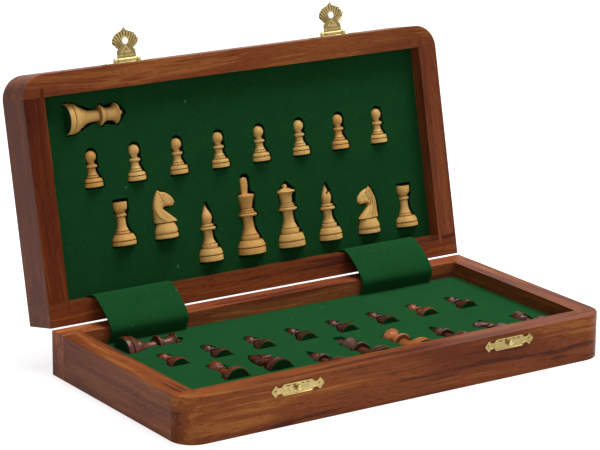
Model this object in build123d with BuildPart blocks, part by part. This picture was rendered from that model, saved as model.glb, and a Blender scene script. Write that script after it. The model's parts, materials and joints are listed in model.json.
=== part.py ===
from build123d import *

import os
from dataclasses import dataclass
from math import cos, radians, sin, sqrt

# A folding chess box: two equal wooden trays, hinged along one long side, with half a chessboard
# on the outside of each and a set of chessmen lying in felt-covered recesses inside.
# Millimetres. X runs along the hinge, Y towards it, Z up; the origin is the middle of the
# base tray's underside, where it stands on the table. The lid is modelled open.

# ---------------------------------------------------------------- trays and board
squares_along = 8           # squares across one half of the board
squares_deep = 4            # squares from the front border to the hinge
square_size = 34.625
rail_thickness = 14.0       # also the plain border round the squares
tray_depth = 28.5
corner_radius = 15.0        # front corners, seen from above
rim_round = 0.6             # softened outer edges of the rails
tongue_thickness = 2.5      # tongue of a side rail, flush with its inner face
tongue_length = 5.0
veneer_thickness = 0.8
veneer_seam = 0.1           # hairline between two squares
panel_thickness = 3.2       # plywood that carries the squares

# ---------------------------------------------------------------- insert and recesses
felt_depth = 9.5            # from the rim down to the felt
felt_thickness = 0.8
axis_depth = 2.2            # from the felt down to the axis of a man that lies in it
recess_clearance = 0.7      # round a man's outline
head_room = 1.4             # more of it over his head
seat_gap = 0.3              # between a man and the floor that he lies on

# ---------------------------------------------------------------- hinge line
open_angle = 102.2          # how far the lid stands open
rim_gap = 0.4               # between the two rims when the box is shut
pin_offset = 0.4            # hinge pin behind the trays' rear faces
hinge_spacing = 185.0       # between the middles of the two butt hinges
hinge_length = 38.0
leaf_depth = 11.0           # from the pin to the leaf's front edge
leaf_thickness = 0.9
knuckle_count = 5
knuckle_radius = 1.9
knuckle_gap = 0.3
pin_radius = 0.9
pin_clearance = 0.05
moving_gap = 0.3            # between a knuckle and the wood beside it
screw_spacing = 24.0
screw_setback = 6.5         # screw's middle in front of the pin
screw_head_radius = 2.0
screw_radius = 1.1
screw_length = 9.0
screw_clearance = 0.05

# ---------------------------------------------------------------- felt flaps over the hinges
flap_width = 55.0
flap_shift = -2.2           # the flaps' middles, from the hinges'
flap_thickness = 1.0
flap_bulge = 1.8            # how far it stands in front of the base rail's inner edge
flap_lift = 1.3             # how far its crest stands over the lid rail's inner edge
flap_end_gap = 0.3          # between its ends and the felt that they hang from

# ---------------------------------------------------------------- brass fittings
fitting_spacing = 152.5     # between the two hasps, and between the two catches
plate_length = 37.4         # tip to tip
plate_body = 22.0
plate_height = 7.6
plate_chamfer = 1.8
plate_thickness = 0.5
fleur_height = 8.2          # spread of the pointed ends
fleur_neck = 3.4
nail_spacing = 31.0
nail_radius = 0.45
nail_head_radius = 1.0
nail_head_height = 0.5
nail_length = 6.0
nail_clearance = 0.05
catch_drop = 6.0            # knob's middle below the base tray's rim
knob_radius = 1.7
knob_height = 2.6           # over its plate
knob_stem_radius = 1.2
knob_stem_height = 1.3
hasp_rise = 5.2             # hasp's axis behind the lid's rim
hasp_gap = 0.3              # between the hasp's barrel and its plate
hasp_barrel_radius = 1.3
hasp_barrel_length = 13.0
hasp_knuckle_length = 2.2
hasp_pin_radius = 0.5
hasp_thickness = 0.6
hasp_length = 19.8          # from its axis to its tip
hasp_width = 18.4
hasp_width_height = 11.0    # where it is widest
hasp_shoulder = 5.2         # height of its square shoulders
hasp_shoulder_width = 12.4
hasp_waist_width = 9.6
hasp_waist_height = 6.2
hasp_lobe_width = 3.8
hasp_lobe_height = 16.6
hasp_hole_radius = 2.1

# ---------------------------------------------------------------- chessmen
pawn_pitch = 30.4
pawn_row = 79.3             # the pawns' feet, from the edge below them
back_pitch = 30.2
back_shift = 15.5           # the second row's middle, from the pawns'
back_row = 22.0             # the feet of the second row
raised_row = 41.0           # its first two men, clear of the flap
spare_queen_row = 122.8     # her axis, from the same edge
spare_queen_start = -121.5  # her foot, from the middle of the box
foot_felt_thickness = 0.6
foot_felt_inset = 0.5
slit_width = 0.9            # cut in a bishop's head
slit_angle = 42.0
horse_chest_half = 5.4      # half the thickness of a knight's horse at the chest
horse_ear_half = 2.4        # and at its ears


@dataclass
class Turning:
    """The sizes of one pattern man, as a turner takes them: heights from the table."""

    height: float
    foot_radius: float
    plinth_height: float
    shoulder_radius: float
    shoulder_height: float
    step_radius: float
    step_height: float
    stem_foot_radius: float
    stem_radius: float
    collar_radius: float
    collar_height: float
    neck_radius: float
    neck_height: float
    head_radius: float
    head_height: float


king = Turning(
    height=49.5, foot_radius=9.8, plinth_height=4.3, shoulder_radius=7.9, shoulder_height=9.3,
    step_radius=6.2, step_height=12.4, stem_foot_radius=5.2, stem_radius=3.6,
    collar_radius=6.5, collar_height=25.4, neck_radius=3.7, neck_height=29.3,
    head_radius=5.9, head_height=37.5)
queen = Turning(
    height=41.0, foot_radius=9.6, plinth_height=3.9, shoulder_radius=8.1, shoulder_height=8.9,
    step_radius=6.3, step_height=12.4, stem_foot_radius=5.3, stem_radius=3.6,
    collar_radius=6.6, collar_height=24.8, neck_radius=3.9, neck_height=28.6,
    head_radius=6.6, head_height=36.0)
bishop = Turning(
    height=36.2, foot_radius=8.4, plinth_height=3.8, shoulder_radius=6.9, shoulder_height=8.4,
    step_radius=5.4, step_height=11.3, stem_foot_radius=4.3, stem_radius=3.1,
    collar_radius=5.6, collar_height=21.0, neck_radius=2.9, neck_height=24.0,
    head_radius=3.8, head_height=27.6)
rook = Turning(
    height=27.2, foot_radius=8.2, plinth_height=2.9, shoulder_radius=6.4, shoulder_height=7.3,
    step_radius=4.7, step_height=9.0, stem_foot_radius=4.0, stem_radius=2.9,
    collar_radius=3.9, collar_height=19.0, neck_radius=3.4, neck_height=21.1,
    head_radius=4.9, head_height=27.2)
pawn = Turning(
    height=22.8, foot_radius=6.3, plinth_height=3.0, shoulder_radius=5.2, shoulder_height=5.8,
    step_radius=4.0, step_height=7.6, stem_foot_radius=3.4, stem_radius=2.6,
    collar_radius=3.9, collar_height=13.2, neck_radius=2.3, neck_height=15.3,
    head_radius=3.7, head_height=19.1)
knight = Turning(
    height=31.0, foot_radius=8.2, plinth_height=2.9, shoulder_radius=7.3, shoulder_height=6.6,
    step_radius=5.5, step_height=8.8, stem_foot_radius=5.3, stem_radius=5.3,
    collar_radius=8.1, collar_height=10.8, neck_radius=8.2, neck_height=21.0,
    head_radius=6.9, head_height=24.0)

disc_half = 0.8             # half the thickness of the edge of a man's collar
finial_radius = 3.0         # rounded blade on a king's crown
crown_slope = 1.2           # a king's crown rises this much from its rim
bead_radius = 1.7           # on a queen's crown
bead_seat = 40.0            # angle below its middle at which it meets the crown

# ---------------------------------------------------------------- worked out from the above
tray_length = squares_along * square_size + 2 * rail_thickness
tray_width = squares_deep * square_size + rail_thickness
inner_length = tray_length - 2 * rail_thickness
inner_width = tray_width - 2 * rail_thickness
board_thickness = veneer_thickness + panel_thickness
felt_top = tray_depth - felt_depth
insert_top = felt_top - felt_thickness
pin_y = tray_width / 2 + pin_offset
pin_z = tray_depth + rim_gap / 2
hasp_stand = plate_thickness + hasp_gap + hasp_barrel_radius
hole_distance = hasp_rise + rim_gap + catch_drop
hinge_middles = [-hinge_spacing / 2, hinge_spacing / 2]
fitting_middles = [-fitting_spacing / 2, fitting_spacing / 2]


def in_open_lid(from_hinge, depth):
    """Y and Z of a point of the open lid, from its hinge edge and down from its rim."""
    back = -(pin_offset + from_hinge)
    up = rim_gap / 2 + depth
    turn = radians(open_angle)
    return pin_y + back * cos(turn) + up * sin(turn), pin_z - back * sin(turn) + up * cos(turn)


def lid_plane(from_hinge, depth, x_sign=1):
    """A plane parallel to the lid's rim, facing out of the open lid."""
    y, z = in_open_lid(from_hinge, depth)
    turn = radians(open_angle)
    return Plane((0, y, z), x_dir=(x_sign, 0, 0), z_dir=(0, -sin(turn), -cos(turn)))


# Each tray is drawn on its outer face, from the middle of its front edge towards the hinge.
# Its nest is drawn on the same face, from the edge that is below the men's feet.
base_tray = Plane((0, -tray_width / 2, 0))
lid_tray = lid_plane(tray_width, tray_depth, x_sign=-1)
base_nest = base_tray
lid_nest = lid_plane(0, tray_depth)


def moved(plane, x=0.0, y=0.0, z=0.0):
    """The same plane with its origin moved along its own directions."""
    return Plane(plane.from_local_coords(Vector(x, y, z)), x_dir=plane.x_dir, z_dir=plane.z_dir)


def save(piece, name):
    """Labels a finished piece and writes it as one node."""
    piece.label = name
    export_step(piece, f"parts/{name}.step")


# ================================================================ trays


def make_ring(tray):
    """The four rails as one ring, with rounded front corners."""
    with BuildPart() as ring:
        with BuildSketch(tray):
            with Locations((0, tray_width / 2)):
                Rectangle(tray_length, tray_width)
        extrude(amount=tray_depth)
        upright = ring.edges().filter_by(Axis(tray.origin, tray.z_dir))
        front = [e for e in upright if tray.to_local_coords(e.center()).Y < rail_thickness]
        fillet(front, corner_radius)
        ends = ring.faces().filter_by(Axis(tray.origin, tray.z_dir))
        fillet(ends.edges(), rim_round)
        with BuildSketch(tray):
            with Locations((0, tray_width / 2)):
                Rectangle(inner_length, inner_width)
            with Locations((0, rail_thickness)):
                Rectangle(inner_length, tray_width, align=(Align.CENTER, Align.MIN))
        extrude(amount=board_thickness, mode=Mode.SUBTRACT)
        with BuildSketch(tray):
            with Locations((0, tray_width / 2)):
                Rectangle(inner_length, inner_width)
        extrude(amount=tray_depth, mode=Mode.SUBTRACT)
    return ring.part


def side_zone(tray):
    """The room that the two side rails fill, tongues included."""
    tongue_x = (inner_length + tongue_thickness) / 2
    with BuildPart() as zone:
        with BuildSketch(tray):
            with Locations((0, tray_width / 2)):
                with GridLocations(inner_length + rail_thickness, 1, 2, 1):
                    Rectangle(rail_thickness, inner_width)
                with GridLocations(2 * tongue_x, 1, 2, 1):
                    Rectangle(tongue_thickness, inner_width + 2 * tongue_length)
        extrude(amount=tray_depth)
    return zone.part


def hinge_cuts(tray):
    """The beds of the two leaves, their knuckles' relief and the screws' holes."""
    top = moved(tray, y=tray_width, z=tray_depth)
    bed_length = hinge_length + 2 * screw_clearance
    with BuildPart() as cuts:
        with BuildSketch(top):
            with GridLocations(hinge_spacing, 1, 2, 1):
                Rectangle(bed_length, leaf_depth, align=(Align.CENTER, Align.MAX))
        extrude(amount=-leaf_thickness)
        relief_length = hinge_length + 2 * moving_gap
        for middle in hinge_middles:
            start = moved(top, x=middle - relief_length / 2, y=pin_offset, z=rim_gap / 2)
            with BuildSketch(Plane(start.origin, x_dir=tray.y_dir, z_dir=tray.x_dir)):
                Circle(knuckle_radius + moving_gap)
            extrude(amount=relief_length)
        for x in screw_places():
            with BuildSketch(moved(top, x=x, y=pin_offset - screw_setback)):
                Circle(screw_radius + screw_clearance)
            extrude(amount=-screw_length - screw_clearance)
    return cuts.part


def screw_places():
    """X of each of a tray's hinge screws."""
    return [middle + side * screw_spacing / 2 for middle in hinge_middles for side in (-1, 1)]


def nail_cuts(tray, height):
    """The holes of the four nails of a tray's two front plates."""
    with BuildPart() as cuts:
        for x in nail_places():
            with BuildSketch(front_plane(tray, x, height)):
                Circle(nail_radius + nail_clearance)
            extrude(amount=-nail_length - nail_clearance)
        for x in fitting_middles:
            with BuildSketch(front_plane(tray, x, height)):
                Circle(knob_stem_radius + nail_clearance)
            extrude(amount=-nail_length - nail_clearance)
    return cuts.part


def nail_places():
    """X of each nail of a tray's two plates."""
    return [middle + side * nail_spacing / 2 for middle in fitting_middles for side in (-1, 1)]


def front_plane(tray, x, height):
    """A plane on a tray's front face, looking out of it, at a height over the outer face."""
    return Plane(
        tray.from_local_coords(Vector(x, 0, height)), x_dir=tray.x_dir, z_dir=-tray.y_dir)


def make_rails(tray, name, cuts):
    """Splits one tray's ring into its front, hinge and side rails."""
    ring = make_ring(tray)
    sides = side_zone(tray)
    with BuildPart() as side_rails:
        add(ring)
        add(sides, mode=Mode.INTERSECT)
    save(side_rails.part, f"{name}_side_rails")

    with BuildPart() as front_rail:
        add(ring)
        add(sides, mode=Mode.SUBTRACT)
        with BuildSketch(tray):
            Rectangle(tray_length, rail_thickness, align=(Align.CENTER, Align.MIN))
        extrude(amount=tray_depth, mode=Mode.INTERSECT)
        add(cuts, mode=Mode.SUBTRACT)
    save(front_rail.part, f"{name}_front_rail")

    with BuildPart() as hinge_rail:
        add(ring)
        add(sides, mode=Mode.SUBTRACT)
        with BuildSketch(moved(tray, y=tray_width)):
            Rectangle(tray_length, rail_thickness, align=(Align.CENTER, Align.MAX))
        extrude(amount=tray_depth, mode=Mode.INTERSECT)
        add(hinge_cuts(tray), mode=Mode.SUBTRACT)
    save(hinge_rail.part, f"{name}_hinge_rail")


def square_middles(shade):
    """The squares of one shade, from the middle of half a board: the corner square is dark."""
    return [
        ((i - (squares_along - 1) / 2) * square_size, (j - (squares_deep - 1) / 2) * square_size)
        for i in range(squares_along) for j in range(squares_deep) if (i + j) % 2 == shade]


def make_board(tray, name):
    """The plywood panel and its light and dark squares, which run out at the hinge edge."""
    board_width = squares_deep * square_size
    with BuildPart() as panel:
        with BuildSketch(moved(tray, y=rail_thickness, z=veneer_thickness)):
            Rectangle(inner_length, board_width, align=(Align.CENTER, Align.MIN))
        extrude(amount=panel_thickness)
    save(panel.part, f"{name}_board_panel")

    for shade, colour in enumerate(("dark", "light")):
        with BuildPart() as squares:
            with BuildSketch(moved(tray, y=rail_thickness + board_width / 2)):
                with Locations(*square_middles(shade)):
                    Rectangle(square_size - veneer_seam, square_size - veneer_seam)
            extrude(amount=veneer_thickness)
        save(squares.part, f"{name}_{colour}_squares")


# ================================================================ chessmen


@dataclass
class Place:
    """Where a man lies in a nest: his foot's middle, and which way his head points."""

    name: str
    pattern: Turning
    x: float
    y: float
    lies_along_hinge: bool = False
    faces: int = 1


def men_places():
    """The seventeen men of one colour."""
    places = []
    for i in range(8):
        x = (i - 3.5) * pawn_pitch
        places.append(Place(f"pawn_{i + 1}", pawn, x, pawn_row))
    second_row = [
        ("left_rook", rook, raised_row), ("left_knight", knight, raised_row),
        ("left_bishop", bishop, back_row), ("king", king, back_row),
        ("queen", queen, back_row), ("right_bishop", bishop, back_row),
        ("right_knight", knight, back_row), ("right_rook", rook, back_row)]
    for i, (name, pattern, y) in enumerate(second_row):
        x = back_shift + (i - 3.5) * back_pitch
        places.append(Place(name, pattern, x, y, faces=-1 if i > 3 else 1))
    places.append(Place(
        "spare_queen", queen, spare_queen_start, spare_queen_row, lies_along_hinge=True))
    return places


def man_plane(nest, place):
    """A plane through a man's axis, parallel to the felt: his head points along its Y."""
    here = moved(nest, place.x, place.y, felt_top - axis_depth)
    if place.lies_along_hinge:
        return Plane(here.origin, x_dir=-here.y_dir, z_dir=here.z_dir)
    return here


def foot_outline(man):
    """Foot, shoulder and step, from the felt's edge inwards: the start of every outline."""
    felt = foot_felt_thickness
    Polyline(
        (0, felt), (man.foot_radius, felt), (man.foot_radius, man.plinth_height),
        (man.foot_radius - 0.3, man.plinth_height + 0.3))
    ThreePointArc(
        (man.foot_radius - 0.3, man.plinth_height + 0.3),
        (0.35 * man.foot_radius + 0.65 * man.shoulder_radius + 0.3,
         0.45 * man.plinth_height + 0.55 * man.shoulder_height),
        (man.shoulder_radius, man.shoulder_height))
    Line((man.shoulder_radius, man.shoulder_height), (man.step_radius, man.shoulder_height))
    Line((man.step_radius, man.shoulder_height), (man.step_radius, man.step_height))
    Line((man.step_radius, man.step_height), (man.stem_foot_radius, man.step_height))


def stem_outline(man):
    """The hollowed stem and the thin collar on its top."""
    disc_bottom = man.collar_height - disc_half
    disc_top = man.collar_height + disc_half
    Spline(
        (man.stem_foot_radius, man.step_height),
        (man.stem_radius + 0.25 * (man.stem_foot_radius - man.stem_radius),
         0.65 * man.step_height + 0.35 * disc_bottom),
        (man.stem_radius, disc_bottom))
    Line((man.stem_radius, disc_bottom), (man.collar_radius - 0.5, disc_bottom))
    ThreePointArc(
        (man.collar_radius - 0.5, disc_bottom), (man.collar_radius, man.collar_height),
        (man.collar_radius - 0.5, disc_top))
    Line((man.collar_radius - 0.5, disc_top), (man.neck_radius + 0.9, disc_top))
    Line((man.neck_radius + 0.9, disc_top), (man.neck_radius + 0.9, man.neck_height - 1.2))
    Line((man.neck_radius + 0.9, man.neck_height - 1.2), (man.neck_radius, man.neck_height))


def king_head(man):
    """A flaring cup with a bevelled top and a rounded blade."""
    rim = man.head_height + crown_slope
    Spline(
        (man.neck_radius, man.neck_height),
        (0.55 * man.neck_radius + 0.45 * man.head_radius, (man.neck_height + man.head_height) / 2),
        (man.head_radius, man.head_height))
    Line((man.head_radius, man.head_height), (finial_radius * 0.7, rim))
    Spline(
        (finial_radius * 0.7, rim), (finial_radius, 0.55 * rim + 0.45 * man.height),
        (0, man.height), tangents=((0.3, 1), (-1, 0)))


def queen_head(man):
    """A flaring cup with a sharp brim, a hollow top and a bead."""
    bead_edge = bead_radius * cos(radians(bead_seat))
    bead_foot = man.height - bead_radius * (1 + sin(radians(bead_seat)))
    Spline(
        (man.neck_radius, man.neck_height),
        (0.88 * man.neck_radius + 0.12 * man.head_radius,
         0.4 * man.neck_height + 0.6 * man.head_height),
        (man.head_radius, man.head_height))
    Line((man.head_radius, man.head_height), (man.head_radius - 0.6, man.head_height + 0.5))
    Line((man.head_radius - 0.6, man.head_height + 0.5), (bead_edge, bead_foot))
    ThreePointArc(
        (bead_edge, bead_foot), (bead_radius, man.height - bead_radius), (0, man.height))


def bishop_head(man):
    """A drop-shaped head that ends in a point."""
    Spline(
        (man.neck_radius, man.neck_height), (man.head_radius, man.head_height),
        (0.6 * man.head_radius, 0.55 * man.head_height + 0.45 * man.height),
        (0.12 * man.head_radius, man.height))
    Line((0.12 * man.head_radius, man.height), (0, man.height))


def rook_head(man):
    """A drum that widens to a flat top."""
    lip = 0.4 * man.neck_height + 0.6 * man.head_height
    Line((man.neck_radius, man.neck_height), (0.45 * man.neck_radius + 0.55 * man.head_radius, lip))
    Line((0.45 * man.neck_radius + 0.55 * man.head_radius, lip), (man.head_radius, lip + 0.4))
    Line((man.head_radius, lip + 0.4), (man.head_radius, man.height))
    Line((man.head_radius, man.height), (0, man.height))


def pawn_head(man):
    """A ball."""
    ball = man.height - man.head_radius
    throat = ball - sqrt(man.head_radius ** 2 - man.neck_radius ** 2)
    Line((man.neck_radius, man.neck_height), (man.neck_radius, throat))
    ThreePointArc((man.neck_radius, throat), (man.head_radius, ball), (0, man.height))


def make_turned(man, plane, head):
    """Turns a man whose whole outline is round."""
    with BuildPart() as turned:
        with BuildSketch(plane):
            with BuildLine():
                foot_outline(man)
                stem_outline(man)
                head(man)
                Line((0, man.height), (0, foot_felt_thickness))
            make_face()
        revolve(axis=Axis(plane.origin, plane.y_dir))
    return turned.part


def make_bishop(man, plane):
    """A turned bishop with a slanted slit in his head."""
    with BuildPart() as mitred:
        add(make_turned(man, plane, bishop_head))
        with BuildSketch(plane):
            with Locations(Location((man.head_radius * 0.8, man.head_height + 1.2, 0), slit_angle)):
                Rectangle(2.2 * man.head_radius, slit_width)
        extrude(amount=man.head_radius, both=True, mode=Mode.SUBTRACT)
    return mitred.part


def horse_chest(man):
    """How high the flat underside of a horse's chest is: just into the foot that carries it."""
    return man.collar_height - 0.3


def make_knight(man, plane, faces):
    """A turned foot that carries a flat-sided horse's head, thinner towards the ears."""
    with BuildPart() as carved:
        with BuildSketch(plane):
            with BuildLine():
                foot_outline(man)
                Polyline(
                    (man.stem_foot_radius, man.step_height), (man.step_radius, man.collar_height),
                    (0, man.collar_height), (0, foot_felt_thickness))
            make_face()
        revolve(axis=Axis(plane.origin, plane.y_dir))
        add(make_horse(man, plane, faces))
    return carved.part


def horse_points(man, faces):
    """A horse's nape, face and breast from the side, nose towards the side that he faces."""
    chest = horse_chest(man)
    back = -1.02 * man.collar_radius
    throat = (-0.18 * man.neck_radius, man.neck_height - 2.0)
    nape = [
        (back, (chest + man.neck_height) / 2), (-0.97 * man.neck_radius, man.neck_height),
        (-0.75 * man.neck_radius, 0.45 * man.neck_height + 0.55 * man.height),
        (-0.41 * man.neck_radius, man.height)]
    face = [
        nape[-1], (-0.06 * man.neck_radius, man.height - 1.5),
        (0.36 * man.head_radius, man.height - 2.6),
        (0.92 * man.head_radius, man.head_height + 0.9), (man.head_radius, man.head_height - 2.0),
        (0.77 * man.head_radius, man.neck_height - 0.8), throat]
    breast = [
        throat, (0.4 * man.collar_radius, (chest + throat[1]) / 2),
        (0.95 * man.collar_radius, chest)]
    sole = [breast[-1], (back, chest), nape[0]]
    return [turned_to(faces, side) for side in (nape, face, breast, sole)]


def turned_to(faces, points):
    """The same points, turned to the left where a man faces left."""
    return [(faces * x, y) for x, y in points]


def make_horse(man, plane, faces):
    """The horse's outline from the side, cut by its outline from the front."""
    nape, face, breast, sole = horse_points(man, faces)
    chest = horse_chest(man)
    with BuildPart() as horse:
        with BuildSketch(plane):
            with BuildLine():
                Spline(*nape)
                Polyline(*face)
                Spline(*breast)
                Polyline(*sole)
            make_face()
        extrude(amount=horse_chest_half, both=True)
        with BuildSketch(Plane(plane.origin, x_dir=plane.z_dir, z_dir=-plane.x_dir)):
            with BuildLine():
                Polyline(
                    (-horse_chest_half, chest), (horse_chest_half, chest),
                    (horse_ear_half, man.height), (-horse_ear_half, man.height), close=True)
            make_face()
        extrude(amount=man.foot_radius, both=True, mode=Mode.INTERSECT)
    return horse.part


def make_foot_felt(man, plane):
    """The felt disc under a man's foot."""
    with BuildPart() as disc:
        with BuildSketch(Plane(plane.origin, x_dir=plane.x_dir, z_dir=plane.y_dir)):
            Circle(man.foot_radius - foot_felt_inset)
        extrude(amount=foot_felt_thickness)
    return disc.part


heads = {id(king): king_head, id(queen): queen_head, id(rook): rook_head, id(pawn): pawn_head}


def make_man(nest, place, colour):
    """One man where he lies, with the felt disc under his foot."""
    plane = man_plane(nest, place)
    man = place.pattern
    if man is bishop:
        wood = make_bishop(man, plane)
    elif man is knight:
        wood = make_knight(man, plane, place.faces)
    else:
        wood = make_turned(man, plane, heads[id(man)])
    name = f"{colour}_{place.name}"
    piece = Compound(label=name, children=[wood, make_foot_felt(man, plane)])
    save(piece, name)


# ================================================================ insert and felt


def nest_head(man):
    """What a recess leaves round a man's head, from where it is widest."""
    top = man.height + head_room
    if man is king:
        return [
            (man.head_radius, man.head_height), (man.head_radius, man.head_height + crown_slope),
            (finial_radius, man.head_height + 2 * crown_slope), (finial_radius, top - 1.5),
            (0.6 * finial_radius, top), (0, top)]
    if man is queen:
        return [
            (man.head_radius, man.head_height), (man.head_radius, man.head_height + 0.5),
            (bead_radius, top - 1.2), (0, top)]
    if man is bishop:
        return [
            (man.head_radius, man.head_height),
            (0.65 * man.head_radius, (man.head_height + top) / 2), (0, top)]
    if man is rook:
        return [(man.head_radius, man.neck_height), (man.head_radius, top), (0, top)]
    ball = man.height - man.head_radius
    return [
        (man.head_radius, ball - 0.5 * man.head_radius),
        (man.head_radius, ball + head_room),
        (0.7 * man.head_radius, ball + 0.7 * man.head_radius + head_room), (0, top)]


def nest_outline(man):
    """Half of a turned man's outline, in steps: what his recess leaves round him."""
    foot = [(0, 0), (man.foot_radius, 0), (man.foot_radius, man.plinth_height + 1.5)]
    if man is knight:
        return foot + [
            (man.shoulder_radius, man.shoulder_height), (man.step_radius, man.collar_height),
            (0, man.collar_height)]
    return foot + [
        (man.shoulder_radius, man.shoulder_height), (man.step_radius, man.step_height + 0.6),
        (man.stem_radius + 0.4, (man.step_height + man.collar_height) / 2),
        (man.stem_radius + 0.4, man.collar_height - 1.6),
        (man.collar_radius, man.collar_height - 1.0), (man.collar_radius, man.collar_height + 1.0),
        (man.neck_radius + 1.1, man.collar_height + 2.0), *nest_head(man)]


def nest_sketch(man, faces):
    """A man's outline with his clearance all round, head towards +Y."""
    with BuildSketch() as outline:
        with BuildLine():
            Polyline(*nest_outline(man), close=True)
        make_face()
        mirror(about=Plane.YZ)
        if man is knight:
            nape, face, breast, sole = horse_points(man, faces)
            with BuildLine():
                Polyline(*nape, *face[1:], *breast[1:], sole[1], close=True)
            make_face()
        offset(amount=recess_clearance)
    return outline.sketch


def recess_pieces(nest, place):
    """A man's recess: his whole outline down to a raised floor, and his foot's deeper end."""
    man = place.pattern
    outline = nest_sketch(man, place.faces)
    level = man_plane(nest, place)
    widest = horse_chest_half if man is knight else max(man.collar_radius, man.head_radius)
    with BuildPart() as whole:
        with BuildSketch(moved(level, z=-widest - seat_gap)):
            add(outline)
        extrude(amount=axis_depth + widest + seat_gap)
    with BuildPart() as foot:
        with BuildSketch(moved(level, z=-man.foot_radius - seat_gap)):
            add(outline)
            with Locations((0, (man.step_height + man.shoulder_height) / 2)):
                Rectangle(3 * man.foot_radius, man.height,
                          align=(Align.CENTER, Align.MIN), mode=Mode.SUBTRACT)
        extrude(amount=axis_depth + man.foot_radius + seat_gap)
    return [whole.part, foot.part]


def make_nest(nest, name, tray):
    """The solid insert with its stepped recesses, and the felt glued on it."""
    recesses = [piece for place in men_places() for piece in recess_pieces(nest, place)]
    with BuildPart() as insert:
        with BuildSketch(moved(tray, y=tray_width / 2, z=board_thickness)):
            Rectangle(inner_length, inner_width)
        extrude(amount=insert_top - board_thickness)
        add(recesses, mode=Mode.SUBTRACT)
    save(insert.part, f"{name}_insert")

    with BuildPart() as felt:
        with BuildSketch(moved(tray, y=tray_width / 2, z=insert_top)):
            Rectangle(inner_length, inner_width)
        extrude(amount=felt_thickness)
        add(recesses, mode=Mode.SUBTRACT)
    save(felt.part, f"{name}_felt")


# ================================================================ hinges


def knuckle_spans(first):
    """Where the knuckles of one leaf start along its hinge, counting from the first or second."""
    pitch = (hinge_length + knuckle_gap) / knuckle_count
    return [-hinge_length / 2 + i * pitch for i in range(first, knuckle_count, 2)]


def pin_line(x):
    """A plane across the hinge pin, looking along it."""
    return Plane((x, pin_y, pin_z), x_dir=(0, 1, 0), z_dir=(1, 0, 0))


def knuckles(radius, middle, first, clearance=0.0):
    """Cylinders round the pin where one leaf has its knuckles."""
    length = (hinge_length + knuckle_gap) / knuckle_count - knuckle_gap
    with BuildPart() as rolls:
        for start in knuckle_spans(first):
            with BuildSketch(pin_line(middle + start - clearance)):
                Circle(radius)
            extrude(amount=length + 2 * clearance)
    return rolls.part


def make_leaf(tray, middle, first):
    """One leaf in its bed, with its knuckles and two countersunk screw holes."""
    top = moved(tray, x=middle if tray is base_tray else -middle, y=tray_width, z=tray_depth)
    with BuildPart() as leaf:
        with BuildSketch(moved(top, y=pin_offset)):
            Rectangle(hinge_length, leaf_depth, align=(Align.CENTER, Align.MAX))
        extrude(amount=-leaf_thickness)
        add(knuckles(knuckle_radius + knuckle_gap, middle, 1 - first, knuckle_gap),
            mode=Mode.SUBTRACT)
        add(knuckles(knuckle_radius, middle, first))
        with BuildSketch(pin_line(middle - hinge_length)):
            Circle(pin_radius + pin_clearance)
        extrude(amount=2 * hinge_length, mode=Mode.SUBTRACT)
        for side in (-1, 1):
            seat = moved(top, x=side * screw_spacing / 2, y=pin_offset - screw_setback)
            add(screw_shape(seat, screw_clearance), mode=Mode.SUBTRACT)
    return leaf.part


def screw_shape(seat, clearance=0.0):
    """A countersunk screw whose head is flush with its seat."""
    head = screw_head_radius + clearance
    shank = screw_radius + clearance
    with BuildPart() as screw:
        with BuildSketch(Plane(seat.origin, x_dir=seat.x_dir, z_dir=-seat.y_dir)):
            with BuildLine():
                Polyline(
                    (0, 0), (head, 0), (shank, -leaf_thickness),
                    (shank, -screw_length), (0, -screw_length - clearance), close=True)
            make_face()
        revolve(axis=Axis(seat.origin, seat.z_dir))
    return screw.part


def make_leaves(tray, name, first):
    """Both leaves of one tray with their four screws."""
    solids = [make_leaf(tray, middle, first) for middle in hinge_middles]
    top = moved(tray, y=tray_width, z=tray_depth)
    for x in screw_places():
        solids.append(screw_shape(moved(top, x=x, y=pin_offset - screw_setback)))
    save(Compound(label=f"hinge_{name}_leaves", children=solids), f"hinge_{name}_leaves")


def make_hinge_pins():
    """The two hinge pins."""
    with BuildPart() as pins:
        for middle in hinge_middles:
            with BuildSketch(pin_line(middle - hinge_length / 2)):
                Circle(pin_radius)
            extrude(amount=hinge_length)
    save(pins.part, "hinge_pins")


# ================================================================ flaps


def make_flaps():
    """Two strips of felt that hang over the hinge rails from one nest to the other."""
    rear_wall = tray_width / 2 - rail_thickness
    lid_edge_y, lid_edge_z = in_open_lid(rail_thickness, 0)
    lid_end_y, lid_end_z = in_open_lid(rail_thickness + flap_end_gap, felt_depth - flap_end_gap)
    half = flap_thickness / 2
    with BuildPart() as flaps:
        for middle in hinge_middles:
            left = middle + flap_shift - flap_width / 2
            with BuildSketch(Plane((left, 0, 0), x_dir=(0, 1, 0), z_dir=(1, 0, 0))):
                with BuildLine() as path:
                    Spline(
                        (rear_wall - flap_end_gap - half, felt_top + flap_end_gap),
                        (rear_wall - flap_bulge, tray_depth + 0.3),
                        (0.55 * rear_wall + 0.45 * lid_edge_y,
                         0.4 * tray_depth + 0.6 * lid_edge_z + 2),
                        (lid_edge_y, lid_edge_z + flap_lift),
                        (lid_end_y - half, lid_end_z + half))
                trace(path.line, flap_thickness)
            extrude(amount=flap_width)
    save(flaps.part, "hinge_flaps")


# ================================================================ brass fittings


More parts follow.
